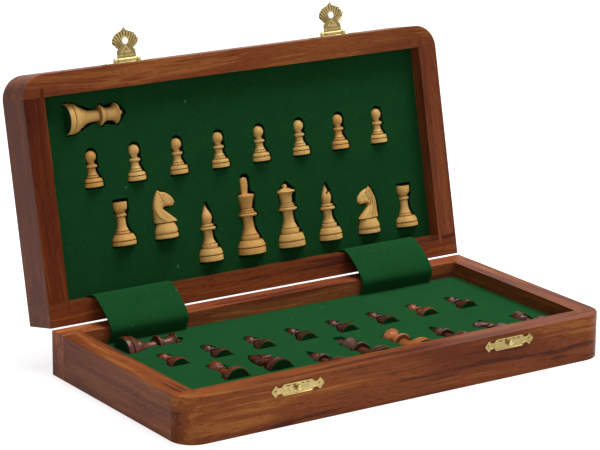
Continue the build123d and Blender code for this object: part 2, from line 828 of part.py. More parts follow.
def plate_outline():
    """Half of a front plate's outline: a chamfered body with a three-pointed end."""
    body = plate_body / 2
    high = plate_height / 2
    neck = fleur_neck / 2
    tip = plate_length / 2
    spread = fleur_height / 2
    nail = nail_spacing / 2
    return [
        (0, high), (body - plate_chamfer, high), (body, high - plate_chamfer), (body + 0.4, neck),
        (nail - 1.9, neck), (nail - 0.4, spread), (nail + 1.2, neck + 0.5), (tip, 0),
        (nail + 1.2, -neck - 0.5), (nail - 0.4, -spread), (nail - 1.9, -neck),
        (body + 0.4, -neck), (body, plate_chamfer - high), (body - plate_chamfer, -high),
        (0, -high)]


def make_plate(face):
    """One front plate with its two nail holes."""
    with BuildPart() as plate:
        with BuildSketch(face):
            with BuildLine():
                Polyline(*plate_outline(), close=True)
            make_face()
            mirror(about=Plane.YZ)
            with GridLocations(nail_spacing, 1, 2, 1):
                Circle(nail_radius + nail_clearance, mode=Mode.SUBTRACT)
        extrude(amount=plate_thickness)
    return plate.part


def dome(radius, bottom, top):
    """An arc from a round head's edge to its top, with its middle on the axis."""
    rise = top - bottom
    ball = (radius ** 2 + rise ** 2) / (2 * rise)
    halfway = radius / 2
    ThreePointArc(
        (radius, bottom), (halfway, top - ball + sqrt(ball ** 2 - halfway ** 2)), (0, top))


def make_nail(face):
    """A nail driven through a plate, with a low round head."""
    with BuildPart() as nail:
        with BuildSketch(Plane(face.origin, x_dir=face.x_dir, z_dir=-face.y_dir)):
            with BuildLine():
                Polyline(
                    (0, plate_thickness + nail_head_height), (0, -nail_length),
                    (nail_radius, -nail_length + 1), (nail_radius, plate_thickness),
                    (nail_head_radius, plate_thickness))
                dome(nail_head_radius, plate_thickness, plate_thickness + nail_head_height)
            make_face()
        revolve(axis=Axis(face.origin, face.z_dir))
    return nail.part


def make_nails(tray, height):
    """The four nails of a tray's two plates."""
    return [make_nail(front_plane(tray, x, height)) for x in nail_places()]


def hasp_axis(x, y=0.0, z=0.0):
    """A plane on the front plates' face whose origin is a hasp's axis, Z out of the lid's front."""
    face = front_plane(lid_tray, x, tray_depth - hasp_rise)
    return moved(face, y=y, z=hasp_stand + z)


def roll(x, length, radius, bore=0.0):
    """A barrel round a hasp's axis, centred on x along it."""
    start = hasp_axis(x)
    with BuildPart() as barrel:
        with BuildSketch(Plane(start.origin, x_dir=start.y_dir, z_dir=start.x_dir)):
            Circle(radius)
            if bore:
                Circle(bore, mode=Mode.SUBTRACT)
        extrude(amount=length / 2, both=True)
    return barrel.part


def make_hasp_plate(x):
    """A plate with two knuckles, standing on webs, that hold a hasp's pin."""
    face = front_plane(lid_tray, x, tray_depth - hasp_rise)
    offset_x = (hasp_barrel_length + hasp_knuckle_length) / 2 + hasp_gap
    knuckle_x = [-offset_x, offset_x]
    with BuildPart() as plate:
        add(make_plate(face))
        for shift in knuckle_x:
            with BuildSketch(moved(face, x=shift)):
                Rectangle(hasp_knuckle_length, 2 * hasp_barrel_radius)
            extrude(amount=hasp_stand)
            add(roll(x + shift, hasp_knuckle_length, hasp_barrel_radius))
        add(roll(x, plate_body, hasp_pin_radius + nail_clearance), mode=Mode.SUBTRACT)
    return plate.part


def hasp_outline():
    """Half of a hasp's outline from its barrel to the lobe on its top."""
    lobe = hasp_lobe_width / 2
    wide = hasp_width / 2
    rise = hasp_lobe_height - hasp_width_height
    return [
        (0, 0), (hasp_barrel_length / 2, 0), (hasp_shoulder_width / 2, hasp_shoulder),
        (hasp_waist_width / 2, hasp_waist_height), (wide - 0.5, hasp_width_height - 1.2),
        (wide, hasp_width_height), (0.9 * wide, hasp_width_height + 0.35 * rise),
        (0.68 * wide, hasp_width_height + 0.65 * rise), (lobe + 1.4, hasp_lobe_height - 0.5),
        (lobe * 0.8, hasp_lobe_height), (lobe, hasp_lobe_height + 1.1),
        (0.5 * lobe, hasp_length - 0.5), (0, hasp_length)]


def make_hasp(x):
    """A pierced leaf that stands straight out from the lid's front, on its rolled barrel."""
    axis = hasp_axis(x)
    leaf = Plane(axis.origin, x_dir=axis.x_dir, z_dir=-axis.y_dir)
    with BuildPart() as hasp:
        with BuildSketch(moved(leaf, z=-hasp_thickness / 2)):
            with BuildLine():
                Polyline(*hasp_outline(), close=True)
            make_face()
            mirror(about=Plane.YZ)
            with Locations((0, hole_distance)):
                Circle(hasp_hole_radius, mode=Mode.SUBTRACT)
        extrude(amount=hasp_thickness)
        add(roll(x, hasp_barrel_length, hasp_barrel_radius))
        add(roll(x, plate_body, hasp_pin_radius + nail_clearance), mode=Mode.SUBTRACT)
    return hasp.part


def make_knob(x):
    """A round catch knob on a stem that is driven through its plate."""
    face = front_plane(base_tray, x, tray_depth - catch_drop)
    top = plate_thickness + knob_height
    neck = plate_thickness + knob_stem_height
    with BuildPart() as knob:
        with BuildSketch(Plane(face.origin, x_dir=face.x_dir, z_dir=-face.y_dir)):
            with BuildLine():
                Polyline(
                    (0, top), (0, -nail_length), (knob_stem_radius, -nail_length),
                    (knob_stem_radius, neck))
                ThreePointArc((knob_stem_radius, neck), (knob_radius, (neck + top) / 2), (0.8, top))
                Line((0.8, top), (0, top))
            make_face()
        revolve(axis=Axis(face.origin, face.z_dir))
    return knob.part


def make_catch_plate(x):
    """A catch plate, pierced for its knob."""
    face = front_plane(base_tray, x, tray_depth - catch_drop)
    with BuildPart() as plate:
        add(make_plate(face))
        with BuildSketch(face):
            Circle(knob_stem_radius + nail_clearance)
        extrude(amount=plate_thickness, mode=Mode.SUBTRACT)
    return plate.part


def save_group(solids, name):
    """Writes several separate solids as one node."""
    save(Compound(label=name, children=solids), name)


def make_fittings():
    """Hasps and their plates on the lid, catches on the base."""
    save_group(
        [make_hasp_plate(x) for x in fitting_middles]
        + make_nails(lid_tray, tray_depth - hasp_rise), "hasp_plates")
    pin_length = hasp_barrel_length + 2 * (hasp_knuckle_length + hasp_gap)
    save_group([roll(x, pin_length, hasp_pin_radius) for x in fitting_middles], "hasp_pins")
    save_group(
        [make_catch_plate(x) for x in fitting_middles]
        + make_nails(base_tray, tray_depth - catch_drop), "catch_plates")
    save_group([make_knob(x) for x in fitting_middles], "catch_knobs")
    # The lid's drawing plane runs towards -X, so its first hasp is the right-hand one.
    save(make_hasp(fitting_middles[0]), "right_hasp")
    save(make_hasp(fitting_middles[1]), "left_hasp")


# ================================================================ the whole box

os.makedirs("parts", exist_ok=True)
for tray, nest, half, drop, colour, first in (
        (base_tray, base_nest, "base", catch_drop, "dark", 0),
        (lid_tray, lid_nest, "lid", hasp_rise, "light", 1)):
    make_rails(tray, half, nail_cuts(tray, tray_depth - drop))
    make_board(tray, half)
    make_nest(nest, half, tray)
    make_leaves(tray, half, first)
    for place in men_places():
        make_man(nest, place, colour)
make_hinge_pins()
make_flaps()
make_fittings()
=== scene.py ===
import json
import math
import random
from dataclasses import dataclass

import bpy
from mathutils import Matrix, Vector

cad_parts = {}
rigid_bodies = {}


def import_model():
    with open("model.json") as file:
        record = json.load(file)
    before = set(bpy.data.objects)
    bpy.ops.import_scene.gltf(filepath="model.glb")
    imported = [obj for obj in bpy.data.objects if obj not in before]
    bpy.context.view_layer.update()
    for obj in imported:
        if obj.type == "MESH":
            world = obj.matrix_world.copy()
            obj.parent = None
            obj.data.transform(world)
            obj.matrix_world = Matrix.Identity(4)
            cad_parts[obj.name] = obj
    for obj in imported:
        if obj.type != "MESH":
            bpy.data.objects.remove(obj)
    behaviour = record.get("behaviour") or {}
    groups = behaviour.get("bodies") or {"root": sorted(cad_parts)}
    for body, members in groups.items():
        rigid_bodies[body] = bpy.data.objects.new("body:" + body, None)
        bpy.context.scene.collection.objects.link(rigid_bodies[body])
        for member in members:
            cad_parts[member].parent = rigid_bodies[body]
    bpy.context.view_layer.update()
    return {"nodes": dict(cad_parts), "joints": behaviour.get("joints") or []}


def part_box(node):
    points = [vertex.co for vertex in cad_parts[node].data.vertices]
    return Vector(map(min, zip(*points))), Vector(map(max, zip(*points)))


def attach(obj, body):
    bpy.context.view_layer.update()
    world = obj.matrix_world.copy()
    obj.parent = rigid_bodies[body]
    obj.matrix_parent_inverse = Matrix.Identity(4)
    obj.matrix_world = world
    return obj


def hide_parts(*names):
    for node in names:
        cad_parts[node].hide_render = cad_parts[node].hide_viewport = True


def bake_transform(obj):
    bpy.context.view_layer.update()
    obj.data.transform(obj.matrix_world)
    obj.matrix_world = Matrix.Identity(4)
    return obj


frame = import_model()

bl_info = {
    "name": "Folding chess box",
    "version": (1, 0, 0),
    "blender": (4, 5, 0),
    "location": "3D View > Sidebar > Chess Box",
    "description": "Finishes a folding wooden chess box and turns the chessmen that lie in it",
    "category": "Object",
}

MM = 0.001
NODES = frame["nodes"]
JOINTS = {joint["name"]: joint for joint in frame["joints"]}
LID_PIN = Vector(JOINTS["hinge_lid"]["pos_m"])
LID_OPEN = -math.radians(JOINTS["hinge_lid"]["range_deg"][0])
HASPS = {side: Vector(JOINTS[f"hinge_{side}_hasp"]["pos_m"]) for side in ("left", "right")}
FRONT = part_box("base_front_rail")[0].y
REAR_LOW, REAR_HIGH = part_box("base_hinge_rail")
RAIL = REAR_HIGH.y - REAR_LOW.y
FELT_LOW, FELT_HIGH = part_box("base_felt")
FELT_TOP = FELT_HIGH.z
TRAY_WIDTH = REAR_HIGH.y - FRONT
TRAY_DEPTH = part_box("base_side_rails")[1].z

SWING = (
    Matrix.Translation(LID_PIN) @ Matrix.Rotation(-LID_OPEN, 4, "X")
    @ Matrix.Translation(-LID_PIN))


def in_lid(from_hinge, depth):
    """The place of a point of the open lid, from its hinge edge and down from its rim."""
    shut = Vector((0, REAR_HIGH.y - from_hinge, 2 * LID_PIN.z - TRAY_DEPTH + depth))
    return SWING @ shut


def turn_to(x, y, z):
    """The turn that lays the three axes along these directions."""
    return Matrix((x, y, z)).transposed().to_4x4()


ACROSS = Vector((1, 0, 0))
LID_RISE = (in_lid(1, 0) - in_lid(0, 0)).normalized()
LID_OUT = ACROSS.cross(LID_RISE)
HASP_STAND = (HASPS["left"] - in_lid(TRAY_WIDTH, 0)).dot(LID_RISE)
TO_NEST = {
    "dark": Matrix.Identity(4),
    "light": Matrix.Translation(in_lid(0, TRAY_DEPTH)) @ turn_to(ACROSS, LID_RISE, LID_OUT)
    @ Matrix.Translation((0, -FRONT, 0))}


# ================================================================ sizes and colours

def amount(name, description, default, **kind):
    """A setting that is one number."""
    return bpy.props.FloatProperty(name=name, description=description, default=default, **kind)


def measure(name, description, millimetres):
    """A setting that is a length."""
    return amount(name, description, millimetres * MM, unit="LENGTH")


def triple(name, description, default, subtype="COLOR"):
    """A setting of three numbers, such as a colour."""
    return bpy.props.FloatVectorProperty(
        name=name, description=description, default=default, subtype=subtype)


class StageSettings(bpy.types.PropertyGroup):
    """Where the box is seen from, and how it is lit."""

    eye: triple(
        "Eye", "Where the camera stands", (-0.885163, -1.291208, 0.526829), "TRANSLATION")
    turn: triple(
        "Turn", "Which way the camera looks", (1.298168, -0.00591, -0.586256), "EULER")
    lens: amount(
        "Lens", "Focal length on a 36 mm wide sensor", 161.76, subtype="DISTANCE_CAMERA")
    overhead_power: amount(
        "Overhead light", "Power of the soft light over the box", 19.0, unit="POWER")
    front_power: amount(
        "Front light", "Power of the soft light beside the camera", 4.0, unit="POWER")
    floor_glow: amount("Floor glow", "How far the floor's shadows are lifted", 0.78)
    world_strength: amount("World", "Strength of the even light from all round", 0.20)


class WoodSettings(bpy.types.PropertyGroup):
    """The rails' wood."""

    pale: triple("Pale", "Palest streaks", (0.425, 0.144, 0.040))
    warm: triple("Warm", "Main colour", (0.282, 0.075, 0.0245))
    deep: triple("Deep", "Dark streaks", (0.120, 0.031, 0.0180))
    streak: measure("Streak", "Width of a band across the grain", 8)
    stretch: amount("Stretch", "How many times longer a band is than wide", 18.0)
    sway: measure("Sway", "How far the streaks waver", 16)
    gloss: amount("Roughness", "Roughness of the lacquer", 0.38, subtype="FACTOR")


class FeltSettings(bpy.types.PropertyGroup):
    """The green felt of the trays and of the flaps."""

    colour: triple("Colour", "The felt's green", (0.0145, 0.108, 0.028))
    deep: triple("Deep", "Between the fibres", (0.0105, 0.076, 0.0205))
    pocket: triple("Pocket", "The recesses' lining", (0.006, 0.030, 0.022))
    lining: triple("Lining", "The recesses' crumbs", (0.06, 0.50, 0.38))
    fibre: measure("Fibre", "Size of the felt's grain", 0.5)


class FlapSettings(bpy.types.PropertyGroup):
    """The felt flaps that hang over the hinges."""

    thickness: measure("Thickness", "Thickness of the felt", 1.0)
    bulge: measure("Bulge", "How far a flap stands in front of the base's hinge rail", 2.8)
    lift: measure("Lift", "How far a flap stands over the lid's hinge rail", 1.3)
    ripple: measure("Ripple", "How uneven the felt hangs", 0.35)


class MenSettings(bpy.types.PropertyGroup):
    """The two sets of chessmen."""

    light: triple("Light", "Light men", (1.0, 0.58, 0.178))
    dark: triple("Dark", "Dark men", (0.128, 0.031, 0.0125))
    segments: bpy.props.IntProperty(
        name="Segments", description="Faces round a turned man", default=48, min=12, max=96)
    foot_felt: measure("Foot felt", "Thickness of the felt under a man", 0.6)


class BrassSettings(bpy.types.PropertyGroup):
    """The stamped brass fittings."""

    colour: triple("Colour", "The brass", (0.57, 0.44, 0.18))
    # Brown of the tarnish and of the painted shade in the fittings' hollows.
    tarnished_and_shaded: triple("Tarnish", "The brass where it is worn brown", (0.10, 0.058, 0.016))
    dull: amount("Roughness", "How dull it is", 0.30, subtype="FACTOR")


SETTINGS = {
    "chess_stage": StageSettings, "chess_wood": WoodSettings, "chess_felt": FeltSettings,
    "chess_flaps": FlapSettings, "chess_men": MenSettings, "chess_brass": BrassSettings}


# ================================================================ shared tools

def clamp(value):
    """A value kept from 0 to 1."""
    return min(1, max(0, value))


def swell(away, width):
    """One where a distance is nothing, falling off smoothly over a width."""
    return math.exp(-(away / width) ** 2)


def only(*objects):
    """Selects just these objects, with the last one active."""
    for thing in bpy.context.view_layer.objects:
        thing.select_set(False)
    for thing in objects:
        thing.select_set(True)
    bpy.context.view_layer.objects.active = objects[-1] if objects else None


def edit(piece, kind="VERT"):
    """Opens a piece for editing with all of it selected."""
    only(piece)
    bpy.ops.object.mode_set(mode="EDIT")
    bpy.ops.mesh.select_mode(type=kind)
    bpy.ops.mesh.select_all(action="SELECT")


def pick(piece, test):
    """Opens a piece for editing with the points that pass a test selected."""
    edit(piece)
    bpy.ops.mesh.select_all(action="DESELECT")
    bpy.ops.object.mode_set(mode="OBJECT")
    for vert in piece.data.vertices:
        vert.select = test(vert)
    bpy.ops.object.mode_set(mode="EDIT")


def face_outwards():
    """Turns all faces of the piece that is being edited outwards."""
    bpy.ops.mesh.select_all(action="SELECT")
    bpy.ops.mesh.normals_make_consistent(inside=False)


def pull(step):
    """Draws what is selected out by a step."""
    bpy.ops.mesh.extrude_region_move(TRANSFORM_OT_translate={"value": step})


def done():
    """Closes editing."""
    bpy.ops.object.mode_set(mode="OBJECT")


def apply_modifiers(piece):
    """Applies every modifier of a piece."""
    only(piece)
    for modifier in list(piece.modifiers):
        bpy.ops.object.modifier_apply(modifier=modifier.name)


def thicken(sheet, thickness, edge):
    """Gives a sheet its thickness, half to each side, and edges of a small width."""
    solid = sheet.modifiers.new("thickness", "SOLIDIFY")
    solid.thickness = thickness
    solid.offset = 0
    bevel = sheet.modifiers.new("edge", "BEVEL")
    bevel.width = edge
    bevel.segments = 2
    bevel.limit_method = "ANGLE"
    bevel.angle_limit = math.radians(60)
    apply_modifiers(sheet)


def cut_away(piece, cutter):
    """Cuts one piece by another, and removes the cutter."""
    modifier = piece.modifiers.new("cut", "BOOLEAN")
    modifier.operation = "DIFFERENCE"
    modifier.solver = "EXACT"
    modifier.object = cutter
    apply_modifiers(piece)
    bpy.data.objects.remove(cutter)


def settle(piece, place=None):
    """Puts a piece's place into its mesh, so that its object sits at the origin."""
    if place is not None:
        piece.matrix_world = place @ piece.matrix_world
    only(piece)
    bpy.ops.object.transform_apply(location=True, rotation=True, scale=True)
    return piece


def add_mesh(kind, **values):
    """A basic mesh, such as a plane, a cube, a circle or a grid."""
    only()
    getattr(bpy.ops.mesh, f"primitive_{kind}_add")(**values)
    return bpy.context.object


def add_block(size, place):
    """A block of the given size at a place."""
    block = add_mesh("cube", size=1)
    block.matrix_world = place @ Matrix.Diagonal((*size, 1))
    return settle(block)


def copy_piece(piece, name):
    """A copy with its own mesh."""
    twin = piece.copy()
    twin.data = piece.data.copy()
    twin.name = name
    bpy.context.scene.collection.objects.link(twin)
    return twin


def soften(piece, angle):
    """Shades smooth, with edges sharper than an angle kept."""
    only(piece)
    bpy.ops.object.shade_smooth_by_angle(angle=math.radians(angle))


def join_all(pieces, name):
    """Joins pieces into one."""
    only(*pieces)
    bpy.ops.object.join()
    whole = bpy.context.view_layer.objects.active
    whole.name = name
    return whole


def mark(piece, name, values):
    """Writes a value on each point of a piece, which its material reads by name."""
    layer = piece.data.attributes.new(name, "FLOAT", "POINT")
    layer.data.foreach_set("value", values)


def age(piece, name, how_much):
    """Marks how worn each point of a piece is, by a function of its place in millimetres."""
    mark(piece, name, [how_much(vert.co / MM) for vert in piece.data.vertices])


def put_on(piece, material):
    """Gives a piece one finish."""
    piece.data.materials.clear()
    piece.data.materials.append(material)


# ================================================================ materials

WHITE = (1.0, 1.0, 1.0)
BLACK = (0.0, 0.0, 0.0)


class Nodes:
    """A node tree's nodes, added and linked in order."""

    def __init__(self, tree):
        self.tree = tree

    def feed(self, node, into, value):
        """Gives an input a plain value or colour, or a link from an output."""
        socket = node.inputs[into]
        if isinstance(value, bpy.types.NodeSocket):
            self.tree.links.new(value, socket)
        elif isinstance(value, (int, float)) or len(value) == len(socket.default_value):
            socket.default_value = value
        else:
            socket.default_value = (*value, 1)

    def add(self, kind, *inputs, **values):
        """A node, with its inputs in order, and its settings and other inputs by name."""
        node = self.tree.nodes.new(kind)
        for key, value in values.items():
            if hasattr(node, key):
                setattr(node, key, value)
            else:
                self.feed(node, key, value)
        for into, value in enumerate(inputs):
            self.feed(node, into, value)
        return node

    def maths(self, operation, *inputs, kind="ShaderNodeMath"):
        """The outcome of a sum, of plain numbers or of vectors."""
        return self.add(kind, *inputs, operation=operation).outputs[0]


class Shader(Nodes):
    """A material's nodes."""

    def __init__(self, name):
        self.material = bpy.data.materials.new(name)
        self.material.use_nodes = True
        super().__init__(self.material.node_tree)
        self.surface = self.tree.nodes["Principled BSDF"]

    def scaled(self, place, scale):
        """The same coordinates, scaled."""
        return self.add("ShaderNodeMapping", place, vector_type="POINT", Scale=scale).outputs[0]

    def place(self, scale, turn=(0, 0, 0), shift=(0, 0, 0)):
        """Object coordinates, moved, turned and scaled."""
        source = self.add("ShaderNodeTexCoord").outputs["Object"]
        turned = self.add(
            "ShaderNodeMapping", source, vector_type="POINT", Location=shift, Rotation=turn)
        return self.scaled(turned.outputs[0], scale)

    def swayed(self, turn, shift, sway):
        """Object coordinates, turned, with a slow sideways waver."""
        place = self.place((1, 1, 1), turn, shift)
        slow = self.noise(self.scaled(place, (7, 16, 16)), detail=1, rough=0.4, out="Color")
        vector = "ShaderNodeVectorMath"
        centred = self.maths("SUBTRACT", slow, (0.5, 0.5, 0.5), kind=vector)
        grown = self.maths("MULTIPLY", centred, (0, sway, sway), kind=vector)
        return self.maths("ADD", place, grown, kind=vector)

    def noise(self, place, detail, rough, warp=0.0, out="Fac"):
        node = self.add(
            "ShaderNodeTexNoise", place, Scale=1.0, Detail=detail, Roughness=rough,
            Distortion=warp)
        return node.outputs[out]

    def ramp(self, source, *stops):
        """Colours that run from one stop to the next, each a place from 0 to 1 and a colour."""
        node = self.add("ShaderNodeValToRGB", source)
        node.color_ramp.interpolation = "EASE"
        while len(node.color_ramp.elements) < len(stops):
            node.color_ramp.elements.new(0.5)
        for element, (at, colour) in zip(node.color_ramp.elements, stops):
            element.position = at
            element.color = (*colour, 1)
        return node.outputs["Color"]

    def mix(self, factor, first, second, mode="MIX"):
        """Mixes two colours by a factor."""
        node = self.add("ShaderNodeMix", data_type="RGBA", blend_type=mode)
        for into, value in ((0, factor), (6, first), (7, second)):
            self.feed(node, into, value)
        return node.outputs[2]

    def finish(self, colour, relief, depth, strength, **values):
        """The finished material: a colour, a relief of some depth, and the surface's values."""
        bump = self.add("ShaderNodeBump", Strength=strength, Distance=depth, Height=relief)
        return self.coat(Base_Color=colour, Normal=bump.outputs["Normal"], **values)

    def coat(self, **values):
        """The finished material, from the surface's values."""
        for key, value in values.items():
            self.feed(self.surface, key.replace("_", " "), value)
        return self.material


def times(colour, factor):
    """A colour made darker or brighter, as a whole or with a factor for each part."""
    factors = factor if isinstance(factor, tuple) else (factor,) * 3
    return tuple(min(1, c * f) for c, f in zip(colour, factors))


def grain_turn(way):
    """The turn that lays a pattern's X along the grain: the hinge, the depth or the lid's rise."""
    if way == "x":
        return (0, 0, 0)
    if way == "y":
        return (0, 0, -math.pi / 2)
    return (-math.atan2(LID_RISE.z, LID_RISE.y), 0, -math.pi / 2)


def wood(name, way, shift, tint, colours=None, right=None):
    """Long wavering streaks one way, with finer ones in them, and fine dark pores.

    A board painted lighter to the right has a second tint, and a length that it comes in over.
    """
    look = bpy.context.scene.chess_wood
    pale, warm, deep = (
        times(colour, tint) for colour in colours or (look.pale, look.warm, look.deep))
    shade = Shader(name)
    sway = shade.swayed(grain_turn(way), shift, look.sway)
    across = 1 / look.streak
    along = across / look.stretch

    def figure(along_times, across_times, detail, rough):
        """Noise that is so many times finer than the bands, along and across the grain."""
        scale = (along * along_times, across * across_times, across * across_times)
        return shade.noise(shade.scaled(sway, scale), detail, rough)

    bands = shade.maths("MULTIPLY_ADD", figure(1, 1, 3, 0.5), 0.75, -0.15)
    streaks = shade.maths("MULTIPLY_ADD", figure(2.2, 4.5, 4, 0.6), 0.55, bands)
    fibres = figure(9, 20, 3, 0.65)
    pores = figure(26, 26, 1, 0.3)
    patches = figure(0.8, 0.25, 2, 0.5)
    full = shade.ramp(streaks, (0.36, deep), (0.455, warm), (0.53, warm), (0.64, pale))
    for share, figured, stops in (
            (1.0, patches, (
                (0.36, (0.70, 0.62, 0.66)), (0.50, WHITE), (0.66, (1.18, 1.22, 1.12)))),
            (1.0, fibres, (
                (0.30, (0.70, 0.66, 0.64)), (0.52, WHITE), (0.75, (1.22, 1.20, 1.14)))),
            (0.85, pores, ((0.30, (0.42, 0.38, 0.38)), (0.39, WHITE)))):
        full = shade.mix(share, full, shade.ramp(figured, *stops), "MULTIPLY")
    # Painted light: the board is lit up towards the right by a second tint.
    if right:
        right_light_tint, run = right
        place = shade.add("ShaderNodeTexCoord").outputs["Object"]
        across_box = shade.add("ShaderNodeSeparateXYZ", place).outputs["X"]
        side = shade.ramp(across_box, (0.0, BLACK), (run, WHITE))
        full = shade.mix(1.0, full, shade.mix(side, WHITE, right_light_tint), "MULTIPLY")
    return shade.finish(
        full, fibres, 0.05 * MM, 0.5, Roughness=look.gloss, Specular_IOR_Level=0.08)


def felt(name, shade_tone=1.0):
    """Short dense felt with a faint nap and a few pale specks of lint."""
    look = bpy.context.scene.chess_felt
    shade = Shader(name)
    per_fibre = 1 / look.fibre
    cloud = shade.noise(shade.place((55, 55, 55)), 4, 0.6)
    fuzz = shade.noise(shade.place((per_fibre * 0.5, per_fibre, per_fibre)), 4, 0.7, 0.3)
    lint = shade.noise(shade.place((300, 300, 300)), 1, 0.3)
    # The shade tone darkens the whole felt as painted shade.
    base = shade.mix(cloud, times(look.deep, shade_tone), times(look.colour, shade_tone))
    fuzz_tone = shade.ramp(fuzz, (0.3, (0.72, 0.72, 0.72)), (0.7, (1.25, 1.25, 1.25)))
    lint_mask = shade.ramp(lint, (0.795, BLACK), (0.84, (0.4, 0.4, 0.4)))
    full = shade.mix(lint_mask, shade.mix(1.0, base, fuzz_tone, "MULTIPLY"), (0.20, 0.36, 0.24))
    return shade.finish(
        full, fuzz, 0.25 * MM, 0.6, Roughness=0.95, Specular_IOR_Level=0.04, Sheen_Weight=0.16,
        Sheen_Roughness=0.45, Sheen_Tint=(0.16, 0.80, 0.28))


def pocket_lining(name, strength):
    """Dark dyed fibre board with pale teal crumbs in the recesses, dimmed by a strength as painted
    shade.
    """
    look = bpy.context.scene.chess_felt
    shade = Shader(name)
    crumbs = shade.noise(shade.place((620, 620, 620)), 3, 0.65, 0.6)
    patches = shade.noise(shade.place((210, 210, 210)), 3, 0.6)
    bright = times(look.lining, strength)
    ground = shade.mix(patches, look.pocket, times(bright, 0.22))
    specks = shade.ramp(crumbs, (0.50, BLACK), (0.62, WHITE))
    return shade.finish(
        shade.mix(specks, ground, bright), crumbs, 0.3 * MM, 0.7, Roughness=0.9,
        Specular_IOR_Level=0.2)


def plywood(name):
    """The bare edge of three plies."""
    shade = Shader(name)
    grain = shade.noise(shade.place((60, 900, 900)), 5, 0.6)
    tone = shade.ramp(grain, (0.3, (0.36, 0.22, 0.11)), (0.7, (0.62, 0.44, 0.25)))
    return shade.finish(tone, grain, 0.05 * MM, 0.4, Roughness=0.7)


def brass(name, dull):
    """Stamped brass, browned where a mesh's own mark of tarnish and painted shade says."""
    look = bpy.context.scene.chess_brass
    shade = Shader(name)
    cloud = shade.noise(shade.place((420, 420, 420)), 4, 0.6)
    tone = shade.ramp(
        cloud, (0.30, times(look.colour, 0.72)), (0.55, look.colour),
        (0.75, times(look.colour, 1.15)))
    tarnish = shade.add("ShaderNodeAttribute", attribute_name="tarnish").outputs["Fac"]
    return shade.finish(
        shade.mix(tarnish, tone, look.tarnished_and_shaded), cloud, 0.03 * MM, 0.5, Metallic=1.0,
        Roughness=dull)


def men_wood(name, way, colour, streak, rough, polish, groove_shade_tone):
    """Fine straight-grained wood, darker in its streaks and where a mesh's mark of painted shade
    says.
    """
    shade = Shader(name)
    turn = grain_turn(way)
    fine = shade.noise(shade.place((60, 1300, 1300), turn), 4, 0.6, 0.2)
    broad = shade.noise(shade.place((18, 160, 160), turn), 3, 0.5, 0.4)
    tone = shade.ramp(
        broad, (0.34, times(colour, streak)), (0.5, colour), (0.68, times(colour, 1.12)))
    fine_tone = shade.ramp(fine, (0.32, (0.93, 0.90, 0.86)), (0.55, WHITE))
    # The mark darkens the wood as painted shade in grooves and cuts.
    grime = shade.add("ShaderNodeAttribute", attribute_name="grime").outputs["Fac"]
    full = shade.mix(
        grime, shade.mix(0.85, tone, fine_tone, "MULTIPLY"), times(colour, groove_shade_tone))
    return shade.finish(
        full, fine, 0.03 * MM, 0.4, Roughness=rough, Specular_IOR_Level=polish)


# ================================================================ chessmen

DISC_HALF = 1.05            # half the thickness of a collar's edge
FINIAL_RADIUS = 2.9         # of the king's blade
BLADE_THINNESS = 0.62       # its thickness, as a share of its width
BEAD_RADIUS = 1.7           # on the queen's crown
SLIT = 1.1                  # width of the cut in a bishop's head
SLIT_TURN = 38              # degrees that it slopes
CHEST_HALF = 5.4            # half a horse's thickness at the chest
EAR_HALF = 2.4              # and at his ears
GROOVE = 0.28               # how wide the painted shade lies in a groove
CHAMFER = 0.22              # on a turned piece's sharp corners
SHARP = 38                  # degrees that make a corner sharp


@dataclass
class Man:
    """A pattern man's sizes in millimetres: radii, and heights from the table."""

    height: float
    foot: float
    plinth: float
    shoulder: tuple
    step: tuple
    stem: tuple
    collar: tuple
    neck: tuple
    head: tuple


PATTERNS = {
    "king": Man(
        49.5, 9.8, 4.3, (7.9, 9.3), (6.2, 12.4), (5.2, 3.6), (6.5, 25.4), (3.7, 29.3),
        (5.9, 37.5)),
    "queen": Man(
        41.0, 9.6, 3.9, (8.1, 8.9), (6.3, 12.4), (5.3, 3.6), (6.6, 24.8), (3.9, 28.6),
        (6.6, 36.0)),
    "bishop": Man(
        36.2, 8.4, 3.8, (6.9, 8.4), (5.4, 11.3), (4.3, 3.1), (5.6, 21.0), (2.9, 24.0),
        (3.8, 27.6)),
    "rook": Man(
        27.2, 8.2, 2.9, (6.4, 7.3), (4.7, 9.0), (4.0, 2.9), (3.9, 19.0), (3.4, 21.1),
        (4.9, 27.2)),
    "pawn": Man(
        22.8, 6.3, 3.0, (5.2, 5.8), (4.0, 7.6), (3.4, 2.6), (3.9, 13.2), (2.3, 15.3),
        (3.7, 19.1)),
    "knight": Man(
        31.0, 8.2, 2.9, (7.3, 6.6), (5.5, 8.8), (5.3, 5.3), (8.1, 10.8), (8.2, 21.0),
        (6.9, 24.0)),
}
PATTERNS["smooth_knight"] = PATTERNS["knight"]


def foot_felt():
    """The felt's thickness under a man's foot, in millimetres."""
    return bpy.context.scene.chess_men.foot_felt / MM


def through(points, steps):
    """A smooth line of points through the given ones."""
    points = [Vector(p) for p in points]
    ends = [2 * points[0] - points[1]] + points + [2 * points[-1] - points[-2]]
    line = []
    for a, b, c, d in zip(ends, ends[1:], ends[2:], ends[3:]):
        for i in range(steps):
            t = i / steps
            line.append(0.5 * (
                2 * b + (c - a) * t + (2 * a - 5 * b + 4 * c - d) * t ** 2
                + (3 * b - a - 3 * c + d) * t ** 3))
    return line + [points[-1]]


def ball(radius, middle, start, steps):
    """Points on a ball's outline, from an angle above its middle to its top."""
    angles = (start + (math.pi / 2 - start) * i / steps for i in range(steps + 1))
    return [(radius * math.cos(a), middle + radius * math.sin(a)) for a in angles]


def ring(radius, height, half):
    """The round edge of a collar or a bead."""
    angles = (math.radians(-90 + 30 * i) for i in range(7))
    return [(radius - half + half * math.cos(a), height + half * math.sin(a)) for a in angles]


